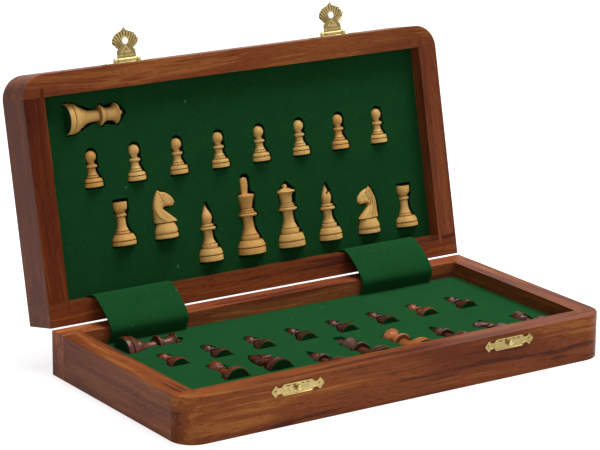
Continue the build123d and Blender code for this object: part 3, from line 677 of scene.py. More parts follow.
def soft_corners(points):
    """The same outline with a small chamfer on each sharp corner."""
    points = [Vector(p) for p in points]
    softened = [points[0]]
    for before, here, after in zip(points, points[1:], points[2:]):
        back, ahead = before - here, after - here
        if min(back.length, ahead.length) < 1e-6:
            continue
        sharp = (-back).angle(ahead) > math.radians(SHARP)
        room = min(CHAMFER, 0.4 * back.length, 0.4 * ahead.length)
        if sharp and room > 0.05:
            softened += [here + back.normalized() * room, here + ahead.normalized() * room]
        else:
            softened.append(here)
    return softened + [points[-1]]


def plinth_line(man):
    """The edge of the sole and the plinth over it."""
    felt = foot_felt()
    return [
        (0, felt), (man.foot - 0.15, felt), (man.foot, felt + 0.2), (man.foot, man.plinth - 0.1),
        (man.foot - 0.15, man.plinth + 0.05)]


def foot_line(man):
    """Plinth, groove, bell and step, up to the stem."""
    foot, plinth = man.foot, man.plinth
    shoulder, bell_top = man.shoulder
    step, step_top = man.step
    bell = through([
        (foot - 0.95, plinth + 0.35), (foot - 0.12, plinth + 0.9),
        (0.18 * foot + 0.82 * (foot - 0.1), 0.72 * plinth + 0.28 * bell_top),
        (0.45 * foot + 0.55 * shoulder + 0.3, 0.4 * plinth + 0.6 * bell_top),
        (shoulder + 0.25, bell_top - 0.25)], 4)
    return [
        *plinth_line(man), *bell, (shoulder - 0.3, bell_top), (step - 0.3, bell_top + 0.1),
        (step + 0.15, bell_top + 0.5), (step + 0.05, step_top - 0.35),
        (step - 0.4, step_top - 0.1), (man.stem[0] - 0.35, step_top)]


def bead_places(man):
    """Radius, height and half thickness of each bead between a man's collar and his neck."""
    above = man.collar[1] + DISC_HALF
    room = man.neck[1] - above
    count = 2 if room > 2.5 else 1 if room > 1.5 else 0
    half = (room - 0.35) / (2 * max(count, 1))
    return [
        (man.neck[0] + 1.35 - 0.5 * i, above + 0.1 + half * (1 + 2 * i), half)
        for i in range(count)]


def stem_line(man):
    """The hollowed stem, the collar and the beads over it."""
    foot, top = man.step[1], man.collar[1] - DISC_HALF
    wide, thin = man.stem
    line = through([
        (wide + 0.3, foot + 0.35), (thin + 0.27 * (wide - thin), 0.65 * foot + 0.35 * top),
        (thin + 0.05 * (wide - thin), 0.3 * foot + 0.7 * top), (thin, top - 0.5),
        (thin - 0.25, top)], 5)
    for place in ((*man.collar, DISC_HALF), *bead_places(man)):
        line += ring(*place)
    return line + [(man.neck[0] - 0.15, man.neck[1] - 0.2)]


def turned_groove_shade(man, height):
    """How dark the painted shade lies in the grooves at a height up a man."""
    grooves = [
        (man.plinth + 0.35, 0.9), (man.shoulder[1] + 0.1, 0.7), (man.step[1], 0.6),
        (man.collar[1] - DISC_HALF, 0.75), (man.collar[1] + DISC_HALF, 0.7),
        (man.neck[1] - 0.2, 0.7)]
    grooves += [(place + half, 0.6) for _, place, half in bead_places(man)]
    return max(strength * swell(height - place, GROOVE) for place, strength in grooves)


def king_line(man):
    """The crown's cup and the blade on it."""
    (neck, throat), (head, brim) = man.neck, man.head
    rim = brim + 1.2
    cup = through([
        (neck, throat), (0.58 * neck + 0.42 * head, (throat + brim) / 2),
        (head - 0.1, brim - 0.5)], 5)
    blade = through([
        (FINIAL_RADIUS * 0.72, rim), (FINIAL_RADIUS * 0.86, rim + 2.6),
        (FINIAL_RADIUS, 0.5 * rim + 0.5 * man.height),
        (FINIAL_RADIUS * 0.93, man.height - 1.9), (FINIAL_RADIUS * 0.6, man.height - 0.55),
        (0, man.height)], 4)
    return [*cup, (head, brim), (head - 0.35, brim + 0.45), *blade]


def queen_line(man):
    """The crown's straight cup, its sharp brim, hollow top and bead."""
    (neck, throat), (head, brim) = man.neck, man.head
    cup = through([
        (neck, throat), (neck + 0.2, 0.5 * throat + 0.5 * brim),
        (neck + 0.75, 0.22 * throat + 0.78 * brim), (head - 1.2, brim - 0.8),
        (head - 0.15, brim - 0.15)], 4)
    return [
        *cup, (head, brim), (head - 0.35, brim + 0.5), (head - 2.0, brim + 1.0),
        (2.9, brim + 1.9),
        *ball(BEAD_RADIUS, man.height - BEAD_RADIUS, math.radians(-40), 8)]


def bishop_line(man):
    """The pointed drop of his head."""
    (head, widest), top = man.head, man.height
    return through([
        man.neck, (head * 0.93, widest - 1.7), man.head, (0.9 * head, 0.75 * widest + 0.25 * top),
        (0.6 * head, 0.53 * widest + 0.47 * top), (0.27 * head, 0.22 * widest + 0.78 * top),
        (0.10 * head, top - 0.2), (0, top)], 4)


def rook_line(man):
    """The tower's drum, with a shallow dish in its top."""
    (neck, throat), head, top = man.neck, man.head[0], man.height
    lip = 0.8 * throat + 0.2 * man.head[1]
    return [
        (neck, throat), (neck + 0.1, lip - 0.3), (0.35 * neck + 0.65 * head, lip),
        (head - 0.25, lip + 0.6), (head - 0.1, lip + 2.0), (head, top - 0.2), (head - 0.2, top),
        (head - 1.2, top), (head - 1.5, top - 0.5), (0, top - 0.5)]


def pawn_line(man):
    """The ball of his head."""
    head = man.head[0]
    return ball(head, man.height - head, -math.acos((man.neck[0] - 0.2) / head), 10)


def knight_foot_line(man):
    """The round foot under the horse: plinth, groove and a bell that curves in."""
    foot, plinth, shoulder = man.foot, man.plinth, man.shoulder[0]
    step, step_top = man.step
    top = man.stem[0] - 0.9
    bell = through([
        (foot - 0.2, plinth + 1.0), (foot - 0.15, plinth + 2.3),
        (shoulder + 0.1, man.shoulder[1] + 0.6), (shoulder - 0.6, step_top + 0.1),
        (step + 1.0, step_top + 0.8)], 4)
    return [
        *plinth_line(man), (foot - 0.95, plinth + 0.35), *bell, (top, step_top + 0.9),
        (top, man.collar[1]), (0, man.collar[1])]


HEAD_LINES = {
    "king": king_line, "queen": queen_line, "bishop": bishop_line, "rook": rook_line,
    "pawn": pawn_line}


def turn_on_lathe(points, name):
    """Spins an outline of radii and heights into a solid."""
    piece = add_mesh("plane", size=1)
    piece.name = name
    edit(piece)
    bpy.ops.mesh.merge(type="CENTER")
    here = Vector((0, 0, 0))
    for radius, height in points:
        there = Vector((max(radius, 0.0), 0, height)) * MM
        if there != here:
            pull(there - here)
        here = there
    done()
    # The first point only marked the origin, so it goes before the spin.
    if (Vector(points[0]) * MM).length > 1e-7:
        pick(piece, lambda vert: vert.co.length < 1e-7)
        bpy.ops.mesh.delete(type="VERT")
    edit(piece)
    bpy.ops.mesh.spin(
        steps=bpy.context.scene.chess_men.segments, angle=2 * math.pi, center=(0, 0, 0),
        axis=(0, 0, 1))
    bpy.ops.mesh.select_all(action="SELECT")
    bpy.ops.mesh.remove_doubles(threshold=0.002 * MM)
    face_outwards()
    done()
    return piece


def mitre(piece, man):
    """A bishop's slanted cut, from one side of his head to its middle, and the painted shade in
    it.
    """
    head, widest = man.head
    place = Matrix.Translation(Vector((-head * 0.5, 0, widest + 4.9)) * MM)
    turned = place @ Matrix.Rotation(math.radians(SLIT_TURN), 4, "Y")
    size = Vector((1.8 * head, 4 * head, SLIT)) * MM
    cut_away(piece, add_block(size, turned))
    to_cut = turned.inverted()
    # Painted shade fills the slit.
    for vert, shade_amount in zip(piece.data.vertices, piece.data.attributes["grime"].data):
        spot = to_cut @ vert.co
        if abs(spot.z) < 0.51 * size.z and abs(spot.x) < 0.51 * size.x:
            shade_amount.value = 1.0


def flatten_blade(piece, man):
    """The king's finial is a blade, thin from front to back."""
    rim = (man.head[1] + 1.25) * MM
    pick(piece, lambda vert: vert.co.z > rim)
    bpy.ops.transform.resize(value=(1.0, BLADE_THINNESS, 1.0), center_override=(0, 0, rim))
    done()


NAPE = [                    # a horse's back from the sole to the ear
    (-7.7, 10.5), (-7.7, 13.0), (-7.7, 15.8), (-7.6, 18.4), (-7.3, 21.0), (-6.7, 23.6),
    (-5.8, 26.2), (-4.8, 28.5), (-3.9, 30.1), (-3.0, 31.0)]
FACE = [                    # his breast, muzzle and forehead, from the sole to the ear
    (7.7, 10.5), (6.4, 12.0), (4.8, 13.5), (3.0, 15.1), (1.3, 16.6), (-0.2, 18.0), (-1.2, 19.1),
    (0.3, 19.95), (2.0, 20.35), (3.9, 20.0), (5.2, 19.9), (6.4, 20.5), (7.3, 21.4),
    (7.5, 22.6), (7.1, 24.0), (6.1, 25.6), (4.6, 27.1), (2.8, 28.4), (1.0, 29.2),
    (-0.5, 29.5), (-1.8, 30.0), (-3.0, 31.0)]
MANE = [                    # where his mane ends on his neck, from the sole to the ear
    (-0.6, 12.8), (-1.6, 13.6), (-2.4, 15.0), (-2.6, 17.0), (-2.2, 19.0), (-1.2, 21.0),
    (0.2, 22.6), (1.3, 24.0), (1.6, 25.6), (0.8, 27.4), (-0.6, 29.0), (-1.8, 31.0)]
SMOOTH_MANE = [             # the same on a horse whose mane isn't combed into strands
    (-0.8, 10.5), (-2.4, 11.8), (-4.4, 13.4), (-5.8, 15.2), (-6.8, 17.2), (-7.6, 19.6),
    (-8.6, 22.0), (-8.6, 31.0)]
CHEEK = [(-3.2, 29.4), (-2.0, 26.6), (-1.1, 23.6), (-0.5, 21.4), (-0.7, 19.6)]
MOUTH = [(6.6, 21.3), (4.3, 21.5)]
EYE = ((0.3, 27.0), 0.55)   # where it is, and how wide
BROW = ((0.3, 27.0), 1.2)
NOSTRIL = ((5.9, 22.9), 0.45)
JAW = ((0.2, 24.6), 2.4)
MUZZLE = ((3.9, 23.4), 1.3)
FLANK = 1.9                 # how far in from his outline a horse's sides round off
MANE_STEP = 0.12            # how sharply the mane's edge is cut
NAPE_TOP = 23               # height where the mane begins to thin down the neck
NAPE_THINS = 8              # and over what height
CUT = {                     # how deep each is cut, or how far it stands out
    "mane": 0.35, "nape": 1.3, "strand": 0.55, "cheek": 0.45, "eye": 0.8, "nostril": 0.5,
    "mouth": 0.4, "muzzle": 0.3, "jaw": 0.5, "brow": 0.3}
STRAND = 1.45               # from one strand of the combed mane to the next
STRAND_LEAN = 13            # how far up the neck they have moved on by one strand
HORSE_ROWS = 72
HORSE_COLUMNS = 44
JOIN = 0.004 * MM           # how near two points of a carving are taken for one


def evenly(points, count):
    """Points at even steps along a smooth line through the given ones."""
    line = through(points, 6)
    walked = [0.0]
    for a, b in zip(line, line[1:]):
        walked.append(walked[-1] + (b - a).length)
    even = []
    i = 0
    for step in range(count + 1):
        goal = walked[-1] * step / count
        while i < len(line) - 2 and walked[i + 1] < goal:
            i += 1
        even.append(line[i].lerp(line[i + 1], (goal - walked[i]) / (walked[i + 1] - walked[i])))
    return even


def nearest(spot, line):
    """How far a place is from a line of points, and how far along it the nearest point is."""
    best, along, walked = math.inf, 0.0, 0.0
    for a, b in zip(line, line[1:]):
        run = b - a
        t = clamp((spot - a).dot(run) / max(run.length_squared, 1e-12))
        away = (spot - a - t * run).length
        if away < best:
            best, along = away, walked + t * run.length
        walked += run.length
    return best, along


def near_line(spot, points):
    """How far a place is from a line through a few points."""
    return nearest(spot, [Vector(p) for p in points])[0]


def dent(spot, place, radius):
    """One at a place, and falling off smoothly round it."""
    return swell((spot - Vector(place)).length, radius)


def mane_edge(height, line):
    """How far forward the mane reaches at a height."""
    for (xa, a), (xb, b) in zip(line, line[1:]):
        if height <= b:
            return xa + (xb - xa) * max(0, height - a) / (b - a)
    return line[-1][0]


def horse_depth(spot, nape, face, combed):
    """Half a carved horse's thickness at a place on his side, and the painted shade in his cuts.
    """
    chest, ear = NAPE[0][1], NAPE[-1][1]
    half = CHEST_HALF + (EAR_HALF - CHEST_HALF) * clamp((spot.y - chest) / (ear - chest))
    from_nape, along = nearest(spot, nape)
    edge = min(1, min(from_nape, nearest(spot, face)[0]) / FLANK)
    depth = half * (0.50 + 0.50 * math.sqrt(max(0, 1 - (1 - edge) ** 2)))
    inside = min(1, edge * 1.6)
    reach = mane_edge(spot.y, MANE if combed else SMOOTH_MANE)
    mane = 1 / (1 + math.exp((spot.x - reach) / MANE_STEP))
    slope = clamp((reach - spot.x) / max(1.0, reach - NAPE[0][0]))
    thinner = clamp((NAPE_TOP - spot.y) / NAPE_THINS)
    depth -= mane * (CUT["mane"] + CUT["nape"] * thinner * slope)
    if combed:
        waves = math.sin(2 * math.pi * (from_nape / STRAND + along / STRAND_LEAN))
        strand = inside * mane * max(0, waves)
        depth -= CUT["strand"] * strand
        cut_shade = 0.8 * strand
    else:
        cheek = inside * swell(near_line(spot, CHEEK), 0.32)
        depth -= CUT["cheek"] * cheek
        cut_shade = max(0.6 * cheek, 0.35 * mane)
    eye = dent(spot, *EYE)
    mouth = swell(near_line(spot, MOUTH), 0.28)
    nostril = dent(spot, *NOSTRIL)
    depth += inside * (
        CUT["jaw"] * dent(spot, *JAW) - CUT["muzzle"] * dent(spot, *MUZZLE)
        + CUT["brow"] * dent(spot, *BROW) - CUT["eye"] * eye - CUT["nostril"] * nostril)
    return depth - CUT["mouth"] * mouth, max(cut_shade, eye, 0.8 * nostril, 0.7 * mouth)


def carve_horse(name, combed):
    """A horse's head and neck, with his mane, eye, nostril and mouth cut in both sides."""
    nape, face = evenly(NAPE, HORSE_ROWS), evenly(FACE, HORSE_ROWS)
    horse = add_mesh(
        "grid", x_subdivisions=HORSE_COLUMNS, y_subdivisions=HORSE_ROWS, size=1)
    horse.name = name
    grime = []
    for vert in horse.data.vertices:
        row = round((vert.co.y + 0.5) * HORSE_ROWS)
        column = round((vert.co.x + 0.5) * HORSE_COLUMNS)
        across = 0.5 - 0.5 * math.cos(math.pi * column / HORSE_COLUMNS)
        spot = nape[row].lerp(face[row], across)
        depth, shade_amount = horse_depth(spot, nape, face, combed)
        vert.co = Vector((spot.x, -depth, spot.y)) * MM
        grime.append(shade_amount)
    # The cuts' painted shade.
    mark(horse, "grime", grime)
    edit(horse)
    bpy.ops.mesh.select_all(action="DESELECT")
    bpy.ops.mesh.select_non_manifold()
    bpy.ops.mesh.extrude_region_move()
    bpy.ops.transform.resize(value=(1, 0, 1), center_override=(0, 0, 0))
    bpy.ops.mesh.select_all(action="SELECT")
    bpy.ops.mesh.remove_doubles(threshold=JOIN)
    done()
    mirror = horse.modifiers.new("other_side", "MIRROR")
    mirror.use_axis = (False, True, False)
    mirror.merge_threshold = JOIN
    apply_modifiers(horse)
    edit(horse)
    face_outwards()
    done()
    return horse


def knight_block(man, combed):
    """A horse on a turned foot."""
    foot = turn_on_lathe(soft_corners(knight_foot_line(man)), "knight_foot")
    # Painted shade in the plinth's groove and on the foot's top, under the horse.
    age(foot, "grime", lambda spot: max(
        0.9 * swell(spot.z - man.plinth - 0.35, GROOVE),
        0.9 if spot.z > man.step[1] + 0.85 else 0.0))
    return join_all([carve_horse("horse", combed), foot], "knight")


def foot_disc(man):
    """The felt under a man's foot."""
    top = foot_felt() + 0.02
    radius = man.foot - 0.5
    return turn_on_lathe(
        [(0, 0), (radius - 0.15, 0), (radius, 0.12), (radius, top), (0, top)], "foot_felt")


def make_pattern(kind):
    """One man standing on his foot, facing along X, with the felt under it."""
    man = PATTERNS[kind]
    if kind in HEAD_LINES:
        outline = foot_line(man) + stem_line(man) + HEAD_LINES[kind](man)
        wooden = turn_on_lathe(soft_corners(outline), kind)
        # Painted shade in the grooves between the turned rings.
        age(wooden, "grime", lambda spot: turned_groove_shade(man, spot.z))
    else:
        wooden = knight_block(man, combed=kind == "knight")
    if kind == "bishop":
        mitre(wooden, man)
    if kind == "king":
        flatten_blade(wooden, man)
    disc = foot_disc(man)
    for piece, blank in ((wooden, "blank_wood"), (disc, "blank_felt")):
        piece.data.materials.append(bpy.data.materials[blank])
    whole = join_all([disc, wooden], f"pattern_{kind}")
    soften(whole, 34)
    return whole


def lying_place(name):
    """Where a man of the base lies, worked out from the frame."""
    low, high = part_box(f"dark_{name}")
    middle = (low + high) / 2
    if name == "spare_queen":
        up, facing = Vector((1, 0, 0)), Vector((0, -1, 0))
        foot = Vector((low.x, middle.y, middle.z))
    else:
        up = Vector((0, 1, 0))
        facing = Vector((-1 if name.startswith("right") else 1, 0, 0))
        if name == "left_bishop":
            facing = Vector((0, 0, 1))
        foot = Vector((middle.x, low.y, middle.z))
    return Matrix.Translation(foot) @ turn_to(facing, up.cross(facing), up)


MEN = [(f"pawn_{i}", "pawn") for i in range(1, 9)] + [
    ("left_rook", "rook"), ("left_knight", "smooth_knight"), ("left_bishop", "bishop"),
    ("king", "king"), ("queen", "queen"), ("right_bishop", "bishop"),
    ("right_knight", "knight"), ("right_rook", "rook"), ("spare_queen", "queen")]
MEN_WOODS = {               # the streaks' tone, roughness, polish, and tone of the painted shade in the grooves
    "light": (0.90, 0.36, 0.25, 0.30), "dark": (0.5, 0.2, 0.34, 0.18)}
TINTS = {                   # men whose wood isn't their set's common one
    "dark_king": (1.1, 1.5, 2.0), "dark_queen": (5.4, 6.9, 4.4),
    "dark_pawn_7": (2.6, 2.9, 2.2), "dark_pawn_1": (1.9, 1.5, 1.1),
    "dark_pawn_3": (1.4, 1.2, 1.1), "dark_left_rook": (1.8, 1.6, 1.3),
    "dark_left_knight": (0.9, 0.8, 0.9), "dark_left_bishop": (1.2, 1.4, 1.5),
    "dark_spare_queen": (1.3, 1.2, 1.2), "light_pawn_1": (0.88, 0.76, 0.62),
    "light_left_rook": (0.95, 0.86, 0.78), "light_pawn_7": (0.96, 0.86, 0.74),
    "light_king": (0.94, 0.86, 0.78)}


def men_finish(colour, name):
    """A man's own piece of wood."""
    along = "x" if name == "spare_queen" else ("lid" if colour == "light" else "y")
    man = f"{colour}_{name}"
    title = f"{man if man in TINTS else colour}_men_wood_{along}"
    if title in bpy.data.materials:
        return bpy.data.materials[title]
    common = getattr(bpy.context.scene.chess_men, colour)
    return men_wood(title, along, times(common, TINTS.get(man, WHITE)), *MEN_WOODS[colour])


class CHESS_OT_men(bpy.types.Operator):
    """Turns the chessmen of both sets and lays them in their recesses"""

    bl_idname = "chess.men"
    bl_label = "Chessmen"

    def execute(self, context):
        blanks = [bpy.data.materials.new(f"blank_{stuff}") for stuff in ("wood", "felt")]
        patterns = {kind: make_pattern(kind) for kind in PATTERNS}
        # The felt under the men is darkened as painted shade.
        under = felt("foot_felt", 0.55)
        for colour in ("dark", "light"):
            for name, kind in MEN:
                man = copy_piece(patterns[kind], f"{colour}_{name}_turned")
                settle(man, TO_NEST[colour] @ lying_place(name))
                finish = men_finish(colour, name)
                for slot in man.material_slots:
                    slot.material = finish if slot.material == blanks[0] else under
                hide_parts(f"{colour}_{name}")
                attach(man, f"{colour}_{name}")
        for pattern in patterns.values():
            bpy.data.objects.remove(pattern)
        for blank in blanks:
            bpy.data.materials.remove(blank)
        return {"FINISHED"}


# ================================================================ felt flaps

FLAP_GAP = 0.3 * MM         # how far a flap's ends stay off the felts and the rails
FLAP_WIDTH = 55 * MM
FLAP_COLUMNS = 36
SLACK_FROM = 8 * MM         # how far from its ends a flap begins to hang freely


def flap_path():
    """The line that a flap follows, from the base's felt over both rails to the lid's."""
    look = bpy.context.scene.chess_flaps
    half = look.thickness / 2
    wall = REAR_LOW.y
    edge = in_lid(RAIL, 0)
    end = in_lid(RAIL + FLAP_GAP, TRAY_DEPTH - FELT_TOP - FLAP_GAP)
    return through([
        (0, wall - FLAP_GAP - half, FELT_TOP + FLAP_GAP),
        (0, wall - look.bulge, TRAY_DEPTH + 0.3 * MM),
        (0, 0.55 * wall + 0.45 * edge.y, 0.4 * TRAY_DEPTH + 0.6 * edge.z + 2 * MM),
        (0, edge.y, edge.z + look.lift), (0, end.y - half, end.z + half)], 9)


def hang_unevenly(flap, middle, width, ends, number):
    """Waves a flap's felt a little, and its ends not at all."""
    look = bpy.context.scene.chess_flaps
    hang = random.Random(number)
    tilt = [hang.uniform(-1, 1) for _ in range(6)]
    for vert in flap.data.vertices:
        slack = min(1, min((vert.co.yz - end.yz).length for end in ends) / SLACK_FROM)
        u = (vert.co.x - middle) / width
        wave = (
            tilt[0] * math.sin(5.1 * u + 2 * tilt[1]) + 0.6 * tilt[2] * math.sin(9.7 * u + tilt[3])
            + 0.4 * math.sin(90 * vert.co.z + 6 * tilt[4]) * math.sin(7 * u + tilt[5]))
        vert.co.y -= slack * look.ripple * (wave + 0.5)
        vert.co.z += slack * look.ripple * 0.5 * wave


def make_flap(middle, number):
    """One flap, pulled out row by row along its path from a strip of edges."""
    look = bpy.context.scene.chess_flaps
    path = flap_path()
    flap = add_mesh("plane", size=1)
    flap.name = f"flap_{number}"
    width = FLAP_WIDTH - look.thickness * 0.4
    flap.matrix_world = (
        Matrix.Translation((middle, path[0].y, path[0].z))
        @ Matrix.Diagonal((width, 0.001, 1, 1)))
    settle(flap)
    pick(flap, lambda vert: vert.co.y > path[0].y)
    bpy.ops.mesh.delete(type="VERT")
    bpy.ops.mesh.select_all(action="SELECT")
    bpy.ops.mesh.subdivide(number_cuts=FLAP_COLUMNS - 1)
    bpy.ops.mesh.select_all(action="SELECT")
    for here, there in zip(path, path[1:]):
        pull(there - here)
    face_outwards()
    done()
    hang_unevenly(flap, middle, width, (path[0], path[-1]), number)
    thicken(flap, look.thickness, 0.22 * MM)
    return flap


class CHESS_OT_flaps(bpy.types.Operator):
    """Hangs the two felt flaps over the hinges"""

    bl_idname = "chess.flaps"
    bl_label = "Felt flaps"

    def execute(self, context):
        low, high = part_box("hinge_flaps")
        finish = felt("flap_felt")
        flaps = [
            make_flap(low.x + FLAP_WIDTH / 2, 1), make_flap(high.x - FLAP_WIDTH / 2, 2)]
        for flap in flaps:
            flap.data.materials.append(finish)
            soften(flap, 50)
            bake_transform(flap)
            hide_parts("hinge_flaps")
        return {"FINISHED"}


# ================================================================ brass fittings

HOLE_HEIGHT = 11.6          # from a hasp's axis to the middle of its hole
HOLE_RADIUS = 2.1
HASP_RINGS = 18             # rows of points from the hole to the edge
HASP_THICKNESS = 0.5 * MM
SHELL_FOCUS = 5.2           # height of the point that the shell's flutes run from
FLUTES = 10.4               # degrees from one flute to the next
SHELL = [                   # angle from the tip, and radius, about the hole's middle
    (0, 8.2), (6, 7.5), (11, 6.7), (15, 6.4), (30, 6.6), (55, 7.7), (80, 8.8), (94, 9.2),
    (101, 8.85), (120, 7.55), (133.8, 6.8)]
NECK = [(6.4, 5.3), (6.5, 0.9), (0, 0.9)]
FAN_HALF = 66               # degrees from the tip to where the flutes begin to fade
FAN_FADE = 8                # and over how many more they end
FLUTE_START = 2.2           # how far from their focus the flutes begin to rise
FLUTE_RISE = 4.5            # and over what distance
SCALLOPED = (14, 98)        # degrees from the tip where the flutes notch the edge
SCALLOP = 0.22              # how deep
ROOF = [                    # the small gable that is stamped under the hole
    ((-3.2, 4.6), (0, 8.5)), ((3.2, 4.6), (0, 8.5)), ((-2.0, 5.0), (2.0, 5.0))]
ROOF_GROUND = (3.4, 8.6)    # half the width and the top of the plain ground round it
BAND_PLACE = 2.9            # height of the band across a hasp's foot
BAND_TOP = 3.6
STAMPED = {"flutes": 0.36, "lip": 0.18, "roof": 0.42, "band": 0.25}  # how far each stands out
BARREL_RADIUS = 1.3
BARREL_LENGTH = 13.0
KNUCKLE_LENGTH = 2.2
PIN_BORE = 0.55
QUARTER_PLATE = [           # a front plate's outline, from the middle of its top to its tip
    (0, 3.5), (9.5, 3.5), (10.2, 3.2), (10.7, 2.2), (11.6, 1.8), (12.8, 1.7), (13.6, 2.0),
    (14.6, 2.8), (15.3, 3.6), (15.9, 2.7), (16.8, 1.8), (17.5, 1.0), (18.2, 0)]
PLATE_THICKNESS = 0.5
PLATE_RIM = [(0.12, 0.10), (0.32, 0), (0.14, -0.24)]    # how far in each step is, and up
PLATE_BROWN = 0.27          # how far the hasps' plates are browned, by tarnish and painted shade
CATCH_BROWN = (0.24, 0.46)  # and the left and the right catch's
RIM_BROWN = 0.3             # of a rim, as a share of its plate's
SLOTS = [                   # middle and width of each slot in a catch's plate
    (-6.6, 2.25, 2.6), (-2.6, 2.35, 2.2), (3.4, 2.35, 1.6), (7.0, 2.25, 2.2)]
SLOT_HEIGHT = 0.55
NAIL_PLACE = 15.1
NAIL = [                    # a nail's head, and a knob, as radii and heights
    (0, 0.2), (0.4, 0.2), (0.80, 0.42), (0.86, 0.50), (0.82, 0.64), (0.66, 0.78), (0.38, 0.86),
    (0, 0.88)]
KNOB = [
    (0, 0.1), (1.8, 0.1), (1.9, 0.3), (1.75, 0.5), (1.3, 0.6), (1.15, 0.85), (1.12, 1.25),
    (1.3, 1.55), (1.6, 1.75), (1.7, 2.05), (1.68, 2.35), (1.5, 2.7), (1.15, 2.95),
    (0.65, 3.07), (0, 3.1)]


def shell_edge():
    """Half of a hasp's edge from its tip round to its barrel, as angles and radii."""
    corners = [(math.radians(a), r) for a, r in SHELL]
    for x, y in NECK:
        spot = Vector((x, y - HOLE_HEIGHT))
        corners.append((math.atan2(spot.x, spot.y), spot.length))
    edge = []
    for (a, ra), (b, rb) in zip(corners, corners[1:]):
        start = Vector((ra * math.sin(a), ra * math.cos(a)))
        end = Vector((rb * math.sin(b), rb * math.cos(b)))
        steps = max(1, round(math.degrees(b - a) / 1.5))
        for i in range(steps):
            spot = start.lerp(end, i / steps)
            edge.append((math.atan2(spot.x, spot.y), spot.length))
    return edge + [corners[-1]]


def flute(x, y):
    """How high the shell's flutes stand at a place, from -1 to 1, and how far up the shell."""
    angle = math.degrees(math.atan2(x, y - SHELL_FOCUS))
    grown = clamp((math.hypot(x, y - SHELL_FOCUS) - FLUTE_START) / FLUTE_RISE)
    inside = 1 if abs(angle) < FAN_HALF else max(0, 1 - (abs(angle) - FAN_HALF) / FAN_FADE)
    return math.cos(math.radians(angle / FLUTES * 360)) * grown * inside


def hasp_relief(x, y):
    """How far the stamping stands out at a place, in millimetres."""
    hole = math.hypot(x, y - HOLE_HEIGHT) - HOLE_RADIUS
    height = STAMPED["flutes"] * flute(x, y) * clamp((hole - 0.35) / 0.8)
    height += STAMPED["lip"] * swell(hole - 0.45, 0.35)
    wide, top = ROOF_GROUND
    below = max(0, 1 - max(0, y - top) / 1.0)
    height *= 1 - 0.9 * below * math.exp(-(x / wide) ** 4)
    roof = min(near_line(Vector((x, y)), beam) for beam in ROOF)
    height += STAMPED["roof"] * swell(roof, 0.32) * below
    if y < BAND_TOP:
        height += STAMPED["band"] * swell(y - BAND_PLACE, 0.4)
    return height


def shape_hasp_leaf():
    """The pierced shell, drawn outwards ring by ring from its hole and then stamped."""
    half = shell_edge()
    edge = half + [(2 * math.pi - a, r) for a, r in reversed(half[1:-1])]
    leaf = add_mesh("circle", vertices=len(edge), radius=HOLE_RADIUS * MM)
    edit(leaf)
    for i in range(HASP_RINGS):
        bpy.ops.mesh.extrude_region_move()
        grow = 1 + 1 / (HOLE_RADIUS + i)
        bpy.ops.transform.resize(value=(grow, grow, 1))
    done()
    scalloped = [math.radians(angle) for angle in SCALLOPED]
    for vert in leaf.data.vertices:
        # A circle's points run round from +Y, as the edge's angles do.
        turn = math.atan2(vert.co.x, vert.co.y) % (2 * math.pi)
        angle, reach = edge[round(turn / (2 * math.pi) * len(edge)) % len(edge)]
        out = round(vert.co.length / MM - HOLE_RADIUS) / HASP_RINGS
        if scalloped[0] < min(angle, 2 * math.pi - angle) < scalloped[1]:
            reach += SCALLOP * flute(
                reach * math.sin(angle), reach * math.cos(angle) + HOLE_HEIGHT)
        radius = HOLE_RADIUS + out * (reach - HOLE_RADIUS)
        x, y = radius * math.sin(angle), radius * math.cos(angle) + HOLE_HEIGHT
        vert.co = Vector((x, y, hasp_relief(x, y))) * MM
        vert.select = False
    outermost = len(leaf.data.vertices) - len(edge)
    # Tarnish and painted shade: the edge and the low hollows are browned, the raised flutes kept
    # bright.
    mark(leaf, "tarnish", [
        0.85 if i >= outermost else clamp(0.50 - 1.3 * vert.co.z / MM)
        for i, vert in enumerate(leaf.data.vertices)])
    thicken(leaf, HASP_THICKNESS, 0.09 * MM)
    return leaf


def make_barrel(length, middle=0.0):
    """A rolled barrel along X with a bore for its pin."""
    half, radius = length / 2, BARREL_RADIUS
    tube = turn_on_lathe([
        (PIN_BORE, -half), (radius - 0.12, -half), (radius, 0.12 - half), (radius, half - 0.12),
        (radius - 0.12, half), (PIN_BORE, half), (PIN_BORE, -half)], "barrel")
    return settle(
        tube, Matrix.Translation((middle * MM, 0, 0)) @ Matrix.Rotation(math.pi / 2, 4, "Y"))


def make_plate(slots=(), brown=PLATE_BROWN):
    """A stamped plate at the origin, facing Z, with a raised rim and a nail in each end."""
    right = QUARTER_PLATE[1:] + [(x, -y) for x, y in reversed(QUARTER_PLATE[1:-1])]
    top, bottom = QUARTER_PLATE[0], (0, -QUARTER_PLATE[0][1])
    outline = [top, *right, bottom, *[(-x, y) for x, y in reversed(right)]]
    plate = add_mesh("circle", vertices=len(outline), radius=MM, fill_type="NGON")
    for vert, (x, y) in zip(plate.data.vertices, outline):
        vert.co = (x * MM, y * MM, 0)
    edit(plate, "FACE")
    pull((0, 0, PLATE_THICKNESS * MM))
    for inwards, up in PLATE_RIM:
        bpy.ops.mesh.inset(thickness=inwards * MM, depth=0)
        bpy.ops.transform.translate(value=(0, 0, up * MM))
    face_outwards()
    done()
    for x, y, wide in slots:
        size = Vector((wide, SLOT_HEIGHT, 4)) * MM
        cut_away(plate, add_block(size, Matrix.Translation((x * MM, y * MM, 0))))
    nail = turn_on_lathe(NAIL, "nail")
    # Tarnish and painted shade under the nail's head.
    age(nail, "tarnish", lambda spot: 0.75 if spot.z < 0.7 else 0.3)
    # Tarnish and painted shade: the plate's sides are darkest and its raised rim lightest.
    age(plate, "tarnish", lambda spot: 0.85 if spot.z < 0.3 else (
        RIM_BROWN * brown if spot.z > PLATE_THICKNESS + 0.05 else brown))
    nails = [
        settle(copy_piece(nail, "nail"), Matrix.Translation((place * MM, 0, 0)))
        for place in (-NAIL_PLACE, NAIL_PLACE)]
    bpy.data.objects.remove(nail)
    return join_all([plate, *nails], "plate")


